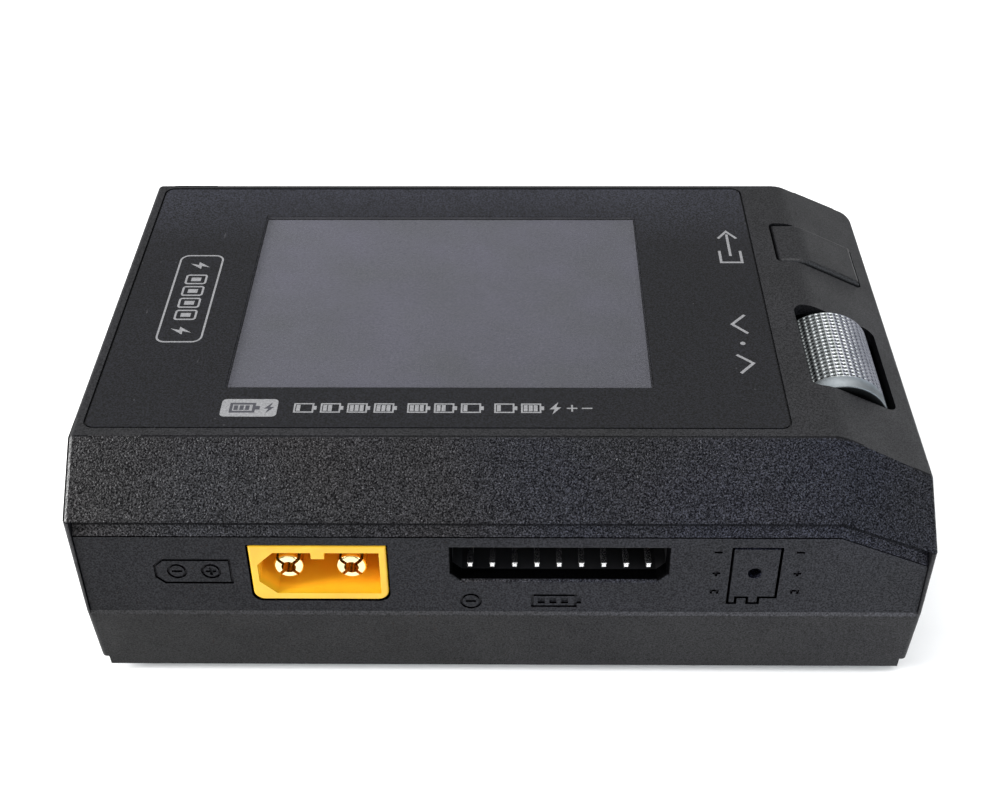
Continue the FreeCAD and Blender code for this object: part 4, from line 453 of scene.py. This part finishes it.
def knurled_metal():
    """Plated wheel: bright ridges, painted shade in the knurl's pits, a painted highlight stripe
    along the top of the rim, end faces darkened to near black, and a duller plain band.
    """
    tree = Tree("knurled_metal")
    height = tree.add("ShaderNodeAttribute", attribute_name="knurl").outputs["Fac"]
    facing = tree.facing()
    # The wheel's end faces are darkened to near black.
    end_face = tree.level(tree.math("ABSOLUTE", facing["Y"]), 0.75, 0.9, 1.0, 0.06)
    band_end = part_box("scroll_wheel")[0].y + PLAIN_BAND
    on_band = tree.math("LESS_THAN", tree.where()["Y"], band_end)
    # Painted highlight: a bright stripe where the rim faces straight up, darker on either side and
    # darkest to the left.
    sides = [(0.0, (0.40, 0.41, 0.41)), (0.40, (0.50, 0.51, 0.50)), (0.46, (1.9, 1.92, 1.80)),
             (0.55, (1.9, 1.84, 1.92)), (0.62, (0.72, 0.71, 0.79)), (1.0, (0.64, 0.63, 0.72))]
    painted_highlight_stripe = tree.ramp(tree.level(facing["X"], -1.0, 1.0, 0.0, 1.0), sides)
    # Painted shade: the knurl's pits are darkened almost to black, the ridges stay lighter.
    stops = [(0.0, (0.020, 0.020, 0.021)), (0.45, (0.14, 0.145, 0.15)), (0.75, (0.31, 0.325, 0.335)),
             (1.0, (0.42, 0.435, 0.445))]
    crest = tree.ramp(height, stops)
    stain = tree.ramp(tree.noise(1.6 * MM, 3.0), [(0.3, (0.72, 0.74, 0.75)), (0.7, (1.0, 1.0, 1.0))])
    marks = tree.noise(0.12 * MM, 2.0)
    rough = tree.math("ADD", tree.level(height, 0.0, 1.0, 0.55, 0.42),
                      tree.math("MULTIPLY", marks, 0.08))
    painted_stripe_and_band_tone = tree.blend(on_band, painted_highlight_stripe, colour(0.74, 0.76, 0.77))
    plating_with_painted_light = tree.product(tree.product(crest, stain), painted_stripe_and_band_tone)
    tree.set(Base_Color=tree.product(plating_with_painted_light, end_face),
             Roughness=tree.mixed("FLOAT", on_band, rough, 0.52),
             Normal=tree.bump(marks, 0.2, 0.02 * MM))
    tree.shader.inputs["Metallic"].default_value = 1.0
    return tree.material


def circuit_board():
    """Solder mask over copper tracks, with plated pads."""
    tree = Tree("circuit_board")
    tracks = tree.add(
        "ShaderNodeTexBrick",
        {"Vector": tree.place, "Scale": 260.0, "Mortar Size": 0.02,
         "Color1": colour(0.006, 0.085, 0.035), "Color2": colour(0.004, 0.06, 0.026),
         "Mortar": colour(0.012, 0.13, 0.055)},
    ).outputs["Color"]
    pads = tree.ramp(tree.cells(2.4 * MM, randomness=0.4), [(0.10, (1, 1, 1)), (0.13, (0, 0, 0))])
    hue = tree.blend(pads, tracks, colour(0.72, 0.70, 0.64))
    weave = tree.noise(0.3 * MM, 2.0)
    tree.set(Base_Color=hue, Roughness=tree.level(weave, 0.3, 0.7, 0.3, 0.42),
             Normal=tree.bump(weave, 0.1, 0.02 * MM))
    return tree.material


def silicone_pad():
    """Soft blue-grey pad with a fine weave pressed into it."""
    tree = Tree("silicone_pad")
    weave = tree.cells(0.4 * MM)
    hue = tree.ramp(weave, [(0.0, (0.16, 0.22, 0.34)), (0.6, (0.22, 0.30, 0.44))])
    tree.set(Base_Color=hue, Roughness=tree.level(weave, 0.0, 0.6, 0.7, 0.85),
             Normal=tree.bump(weave, 0.3, 0.05 * MM))
    return tree.material


def pale_floor():
    """Plain pale studio floor."""
    tree = Tree("pale_floor")
    grain = tree.noise(8 * MM, 2.0)
    hue = tree.ramp(grain, [(0.3, (0.90, 0.90, 0.90)), (0.7, (0.93, 0.93, 0.93))])
    tree.set(Base_Color=hue, Roughness=0.9)
    return tree.material


def paint(piece, material):
    """Give a piece one material in every slot."""
    slots = piece.data.materials
    if not slots:
        slots.append(material)
    for index in range(len(slots)):
        slots[index] = material


def paint_frame():
    """A finished material for every node that comes from the CAD model."""
    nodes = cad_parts
    black = (0.012, 0.012, 0.013)
    case = case_plastic()
    panel = panel_plastic("panel_plastic", 1.0)
    plug = panel_plastic("plug_plastic", 0.0)
    inner = moulded_plastic("inner_plastic", black, 0.2 * MM, 0.25, 0.55)
    moulded = moulded_plastic("moulded_black", (0.010, 0.010, 0.011), 0.14 * MM, 0.25, 0.46)
    white = moulded_plastic("white_plastic", (0.62, 0.62, 0.60), 0.2 * MM, 0.2, 0.5)
    red = moulded_plastic("plunger_red", (0.42, 0.05, 0.03), 0.15 * MM, 0.2, 0.4)
    rubber = moulded_plastic("foot_rubber", (0.016, 0.016, 0.016), 0.25 * MM, 0.5, 0.8)
    epoxy = moulded_plastic("chip_epoxy", (0.016, 0.016, 0.017), 0.12 * MM, 0.4, 0.62)
    ferrite = moulded_plastic("ferrite", (0.045, 0.045, 0.048), 0.3 * MM, 0.5, 0.7)
    ribbon = moulded_plastic("ribbon_film", (0.70, 0.68, 0.60), 0.5 * MM, 0.1, 0.35)
    steel = metal("plated_steel", (0.62, 0.62, 0.64), 0.3, 0.2 * MM, 0.2)
    black_steel = metal("black_oxide", (0.06, 0.06, 0.063), 0.42, 0.15 * MM, 0.3)
    gold = metal("gold_plate", (0.98, 0.80, 0.42), 0.16, 0.15 * MM, 0.12)
    tin = metal("tin_plate", (0.82, 0.82, 0.83), 0.24, 0.1 * MM, 0.15)
    sink = metal("extruded_aluminium", (0.62, 0.63, 0.65), 0.35, 0.3 * MM, 0.3, (1.0, 0.08, 1.0))
    board = circuit_board()
    nylon = connector_nylon()
    groups = {
        case: ["top_cover", "bottom_shell", "exit_button"],
        panel: ["front_panel", "rear_panel"],
        plug: ["signal_port_cover"],
        overlay_film(): ["screen_panel"],
        window_pane(): ["screen_window"],
        display_face(): ["lcd_module"],
        white: ["lcd_frame"],
        board: ["control_board", "main_board", "key_board"],
        steel: ["display_screws", "board_screws", "key_board_screws", "wheel_axle", "usb_port",
                "carrier_guide_pins"],
        black_steel: ["case_screws", "fan_screws"],
        rubber: ["rubber_feet"],
        nylon: ["output_housing", "input_housing"],
        gold: ["output_contacts", "input_contacts", "key_board_spacers"],
        tin: ["balance_pins", "signal_pins"],
        moulded: ["balance_header", "signal_header", "fan_frame", "fan_rotor", "buzzer"],
        inner: ["wheel_carrier", "wheel_encoder", "wheel_switch", "exit_switch"],
        red: ["wheel_switch_plunger", "exit_switch_plunger"],
        sink: ["heatsink", "capacitors"],
        silicone_pad(): ["thermal_pad"],
        epoxy: ["mosfets"],
        ferrite: ["power_inductors"],
        ribbon: ["display_ribbon"],
        knurled_metal(): ["scroll_wheel"],
    }
    for material, names in groups.items():
        for name in names:
            paint(nodes[name], material)


# ---------------------------------------------------------------- pieces


def new_piece(name, mesh, material, body):
    """A finished piece that rides on a body."""
    piece = bpy.data.objects.new(name, mesh)
    bpy.context.scene.collection.objects.link(piece)
    piece.data.materials.append(material)
    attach(piece, body)
    return piece


def wheel_profile(radius, length):
    """Points from the front face round to the rear, each along, reach and its row in the knurl."""
    lip = 0.22 * MM
    rows = 19
    plain = radius - 0.02 * MM
    points = [(0.0, 1.1 * MM, None), (0.0, 2.3 * MM, None), (0.45 * MM, 2.7 * MM, None),
              (0.45 * MM, radius - 1.5 * MM, None), (0.05 * MM, radius - 1.1 * MM, None),
              (0.0, radius - 0.9 * MM, None), (0.0, radius - 0.30 * MM, None),
              (0.10 * MM, radius - 0.10 * MM, None), (lip, plain, None), (PLAIN_BAND, plain, None)]
    knurl_end = length - lip
    steps = rows * KNURL_STEPS
    for step in range(steps + 1):
        along = PLAIN_BAND + (knurl_end - PLAIN_BAND) * step / steps
        points.append((along, radius, step / KNURL_STEPS))
    points += [(length - lip * 0.4, radius - 0.12 * MM, None), (length, radius - 0.4 * MM, None),
               (length, 1.1 * MM, None)]
    return points


def knurl_height(row, column):
    """The knurl's surface from 0 at the bottom of a pit to 1 on the ridges between pits."""
    pit = abs(math.sin(math.pi * row) * math.sin(math.pi * column))
    return 1.0 - pit ** 2.2


def knurled_wheel():
    """Scroll wheel with rows of pits in its rim, a plain band at the front and dished ends."""
    low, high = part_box("scroll_wheel")
    centre = (low + high) / 2
    radius = (high.z - low.z) / 2
    depth = 0.20 * MM
    plain_shade = 0.72
    columns = 48
    around = columns * KNURL_STEPS
    shape = bmesh.new()
    knurl = shape.verts.layers.float.new("knurl")
    rings = []
    for along, reach, row in wheel_profile(radius, high.y - low.y):
        ring = []
        for turn in range(around):
            crest = 1.0 if row is None else knurl_height(row, turn / KNURL_STEPS)
            size = reach - depth * (1.0 - crest)
            angle = 2 * math.pi * turn / around
            across, up = math.cos(angle) * size, math.sin(angle) * size
            vertex = shape.verts.new((centre.x + across, low.y + along, centre.z + up))
            vertex[knurl] = plain_shade if row is None else crest
            ring.append(vertex)
        rings.append(ring)
    rings.append(rings[0])
    for near, far in zip(rings, rings[1:]):
        for turn in range(around):
            following = (turn + 1) % around
            shape.faces.new((near[turn], near[following], far[following], far[turn]))
    bmesh.ops.recalc_face_normals(shape, faces=shape.faces)
    mesh = bpy.data.meshes.new("knurled_wheel")
    shape.to_mesh(mesh)
    shape.free()
    mesh.polygons.foreach_set("use_smooth", [True] * len(mesh.polygons))
    piece = new_piece("knurled_wheel", mesh, knurled_metal(), "wheel")
    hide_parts("scroll_wheel")


# ---------------------------------------------------------------- printed marks


class Print:
    """Collects flat printed shapes that lie on the overlay and makes one thin mesh of them."""

    def __init__(self, name, layer=1):
        self.name = name
        self.shape = bmesh.new()
        self.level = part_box("screen_panel")[1].z + PRINT_LIFT * layer

    def face(self, points):
        """A flat face, in millimetres across and along the case."""
        corners = [self.shape.verts.new((x * MM, y * MM, self.level)) for x, y in points]
        face = self.shape.faces.new(corners)
        face.normal_update()
        if face.normal.z < 0:
            face.normal_flip()

    def stroke(self, points, width, closed=False):
        """A line through several points with mitred corners."""
        places = [Vector(point) for point in points]
        count = len(places)
        sides = []
        for index, place in enumerate(places):
            before = places[index - 1] if closed or index else None
            after = places[(index + 1) % count] if closed or index + 1 < count else None
            sides.append(mitre(before, place, after, width / 2))
        last = count if closed else count - 1
        for index in range(last):
            near, far = sides[index], sides[(index + 1) % count]
            self.face([near[0], far[0], far[1], near[1]])

    def disc(self, centre, radius):
        """A filled circle."""
        self.face(arc(centre, radius, 0, 360, 16)[:-1])

    def finish(self, material):
        """Turn the collected faces into one thin piece on the casing."""
        mesh = bpy.data.meshes.new(self.name)
        bmesh.ops.remove_doubles(self.shape, verts=self.shape.verts, dist=0.001 * MM)
        self.shape.to_mesh(mesh)
        self.shape.free()
        piece = new_piece(self.name, mesh, material, "casing")
        skin = piece.modifiers.new("skin", "SOLIDIFY")
        skin.thickness = PRINT_DEPTH
        skin.offset = -1


def mitre(before, place, after, half):
    """The two edge points of a stroke at one of its points."""
    ways = []
    if before is not None:
        ways.append((place - before).normalized())
    if after is not None:
        ways.append((after - place).normalized())
    way = sum(ways, Vector((0.0, 0.0))).normalized()
    side = Vector((-way.y, way.x))
    square = Vector((-ways[0].y, ways[0].x))
    reach = half / max(0.3, side.dot(square))
    return place + side * reach, place - side * reach


def arc(centre, radius, start, end, steps):
    """Points along an arc between two angles in degrees."""
    points = []
    for step in range(steps + 1):
        angle = math.radians(start + (end - start) * step / steps)
        points.append((centre[0] + radius * math.cos(angle), centre[1] + radius * math.sin(angle)))
    return points


def rounded_box(low, high, corner):
    """The points of a rounded rectangle."""
    points = []
    inner = [(high[0] - corner, high[1] - corner), (low[0] + corner, high[1] - corner),
             (low[0] + corner, low[1] + corner), (high[0] - corner, low[1] + corner)]
    for turn, centre in enumerate(inner):
        points += arc(centre, corner, 90 * turn, 90 * turn + 90, 6)
    return points


def square_box(low, high):
    """The points of a rectangle."""
    return [low, (high[0], low[1]), high, (low[0], high[1])]


def bolt(centre, size, turned=False):
    """The outline of a lightning bolt, upright or turned a quarter to the left."""
    shape = [(0.16, 0.5), (-0.30, -0.08), (-0.04, -0.08), (-0.16, -0.5), (0.30, 0.08), (0.04, 0.08)]
    points = []
    for x, y in shape:
        across, along = (-y, x) if turned else (x, y)
        points.append((centre[0] + across * size, centre[1] + along * size))
    return points


def battery(sheet, left, low, width, height, cells, stroke):
    """A battery outline with a tip and a number of filled cells."""
    right, high = left + width, low + height
    sheet.stroke(square_box((left, low), (right, high)), stroke, closed=True)
    edge = right + stroke / 2
    sheet.face(square_box((edge, low + height * 0.28), (edge + stroke * 1.6, high - height * 0.28)))
    room = (width - stroke * 2) / 3
    for index in range(cells):
        start = left + stroke + index * room
        sheet.face(square_box((start, low + stroke), (start + room - stroke * 0.6, high - stroke)))


def sign(sheet, centre, size, stroke, plus):
    """A minus sign, or a plus sign made of three bars that do not overlap."""
    x, y = centre
    half, thin = size / 2, stroke / 2
    sheet.face(square_box((x - half, y - thin), (x + half, y + thin)))
    if plus:
        sheet.face(square_box((x - thin, y + thin), (x + thin, y + half)))
        sheet.face(square_box((x - thin, y - half), (x + thin, y - thin)))


def side_emblem():
    """A rounded frame on the left margin that holds cells and bolts instead of a badge."""
    sheet = Print("side_emblem")
    left, right, front, rear = -42.05, -36.6, -9.5, 9.4
    sheet.stroke(rounded_box((left, front), (right, rear), 1.1), 0.24, closed=True)
    middle = (left + right) / 2
    for along in (-7.2, 7.1):
        sheet.face(bolt((middle, along), 2.6, turned=True))
    for index in range(4):
        along = -3.9 + index * 2.6
        cell = rounded_box((middle - 1.25, along - 0.95), (middle + 1.25, along + 0.95), 0.3)
        sheet.stroke(cell, 0.26, closed=True)
        sheet.face(square_box((middle - 0.62, along - 0.4), (middle + 0.62, along + 0.4)))
    sheet.finish(INK)


def title_row():
    """A filled tag and a row of plain pictograms along the front margin."""
    sheet = Print("title_row")
    left, right, low, high = -32.1, -25.65, -23.7, -20.55
    sheet.face(rounded_box((left, low), (right, high), 0.55))
    middle = (low + high) / 2
    size = 1.9
    stroke = 0.2
    across = -23.7
    for group in ((1, 2, 3, 3), (3, 2, 1), (1, 3)):
        for cells in group:
            battery(sheet, across, middle - size / 2 + 0.2, 2.1, size - 0.4, cells, stroke)
            across += 3.05
        across += 0.75
    sheet.face(bolt((across, middle), 2.2))
    sign(sheet, (across + 1.9, middle), 1.2, stroke, True)
    sign(sheet, (across + 3.6, middle), 1.2, stroke, False)
    sheet.finish(INK)
    mark = Print("tag_mark", layer=2)
    battery(mark, left + 1.15, low + 0.85, 2.6, high - low - 1.7, 3, 0.32)
    mark.face(bolt((right - 0.95, middle), 1.9))
    mark.finish(bpy.data.materials["overlay_film"])


def button_marks():
    """An exit arrow beside the button, and two chevrons with a dot beside the wheel."""
    sheet = Print("button_marks")
    middle = 29.35
    width = 0.34
    half = 1.35
    tray = [(middle - half, 10.6), (middle - half, 7.9), (middle + half, 7.9), (middle + half, 10.6)]
    sheet.stroke(tray, width)
    sheet.stroke([(middle, 9.4), (middle, 14.6)], width)
    sheet.stroke([(middle - 1.2, 13.6), (middle, 15.3), (middle + 1.2, 13.6)], width)
    chevron = 0.36
    sheet.stroke([(29.59, -3.81), (27.87, -5.75), (29.6, -7.64)], chevron)
    sheet.stroke([(27.72, -11.96), (29.52, -13.61), (27.86, -15.53)], chevron)
    sheet.disc((28.72, -9.67), 0.32)
    sheet.finish(INK)


# ---------------------------------------------------------------- studio


def make_floor():
    """Floor that the charger stands on."""
    mesh = bpy.data.meshes.new("floor")
    size = 4.0
    corners = [(-size, -size, 0), (size, -size, 0), (size, size, 0), (-size, size, 0)]
    mesh.from_pydata(corners, [], [(0, 1, 2, 3)])
    floor = bpy.data.objects.new("floor", mesh)
    bpy.context.scene.collection.objects.link(floor)
    floor.data.materials.append(pale_floor())


def area_light(name, place, target, size, power, tone=(1.0, 1.0, 1.0)):
    """A soft box at a place, turned towards a target."""
    data = bpy.data.lights.new(name, "AREA")
    data.shape = "RECTANGLE"
    data.size, data.size_y = size
    data.energy = power
    data.color = tone
    lamp = bpy.data.objects.new(name, data)
    lamp.location = place
    lamp.rotation_euler = (Vector(target) - Vector(place)).to_track_quat("-Z", "Y").to_euler()
    bpy.context.scene.collection.objects.link(lamp)


def light_studio():
    """Even white surroundings and soft boxes above, behind and to the front."""
    world = bpy.data.worlds.new("studio")
    world.use_nodes = True
    backdrop = world.node_tree.nodes["Background"]
    backdrop.inputs["Color"].default_value = (1.0, 1.0, 1.0, 1.0)
    backdrop.inputs["Strength"].default_value = 0.40
    bpy.context.scene.world = world
    area_light("overhead", (0.0, 0.0, 0.95), (0, 0, 0), (1.0, 0.9), 10.0)
    area_light("front_fill", (-0.1, -0.8, 0.3), (0, 0, 0), (0.6, 0.3), 1.0, (1.0, 0.98, 0.95))
    area_light("left_strip", (-0.5, -0.17, 0.2), (-0.04, 0, 0.02), (0.12, 0.20), 4.2)
    area_light("left_edge", (-0.46, -0.15, 0.36), (-0.045, -0.03, 0.03), (0.36, 0.10), 1.1)
    area_light("right_fill", (0.55, -0.45, 0.28), (0.02, 0, 0.02), (0.3, 0.3), 2.0, (0.80, 0.90, 1.0))
    area_light("right_back", (0.6, 0.5, 0.35), (0, 0, 0.02), (0.4, 0.3), 0.5, (0.93, 0.96, 1.0))


def make_camera():
    """Camera at the photo's place, angle and field of view."""
    data = bpy.data.cameras.new("camera")
    data.lens = CAMERA_LENS
    data.sensor_width = 36.0
    data.clip_start = 0.01
    data.clip_end = 20.0
    camera = bpy.data.objects.new("camera", data)
    camera.location = CAMERA_PLACE
    camera.rotation_euler = CAMERA_TURN
    bpy.context.scene.collection.objects.link(camera)
    bpy.context.scene.camera = camera


make_camera()
bpy.context.scene.view_settings.view_transform = "Standard"
INK = printed_ink()
paint_frame()
knurled_wheel()
side_emblem()
title_row()
button_marks()
make_floor()
light_studio()
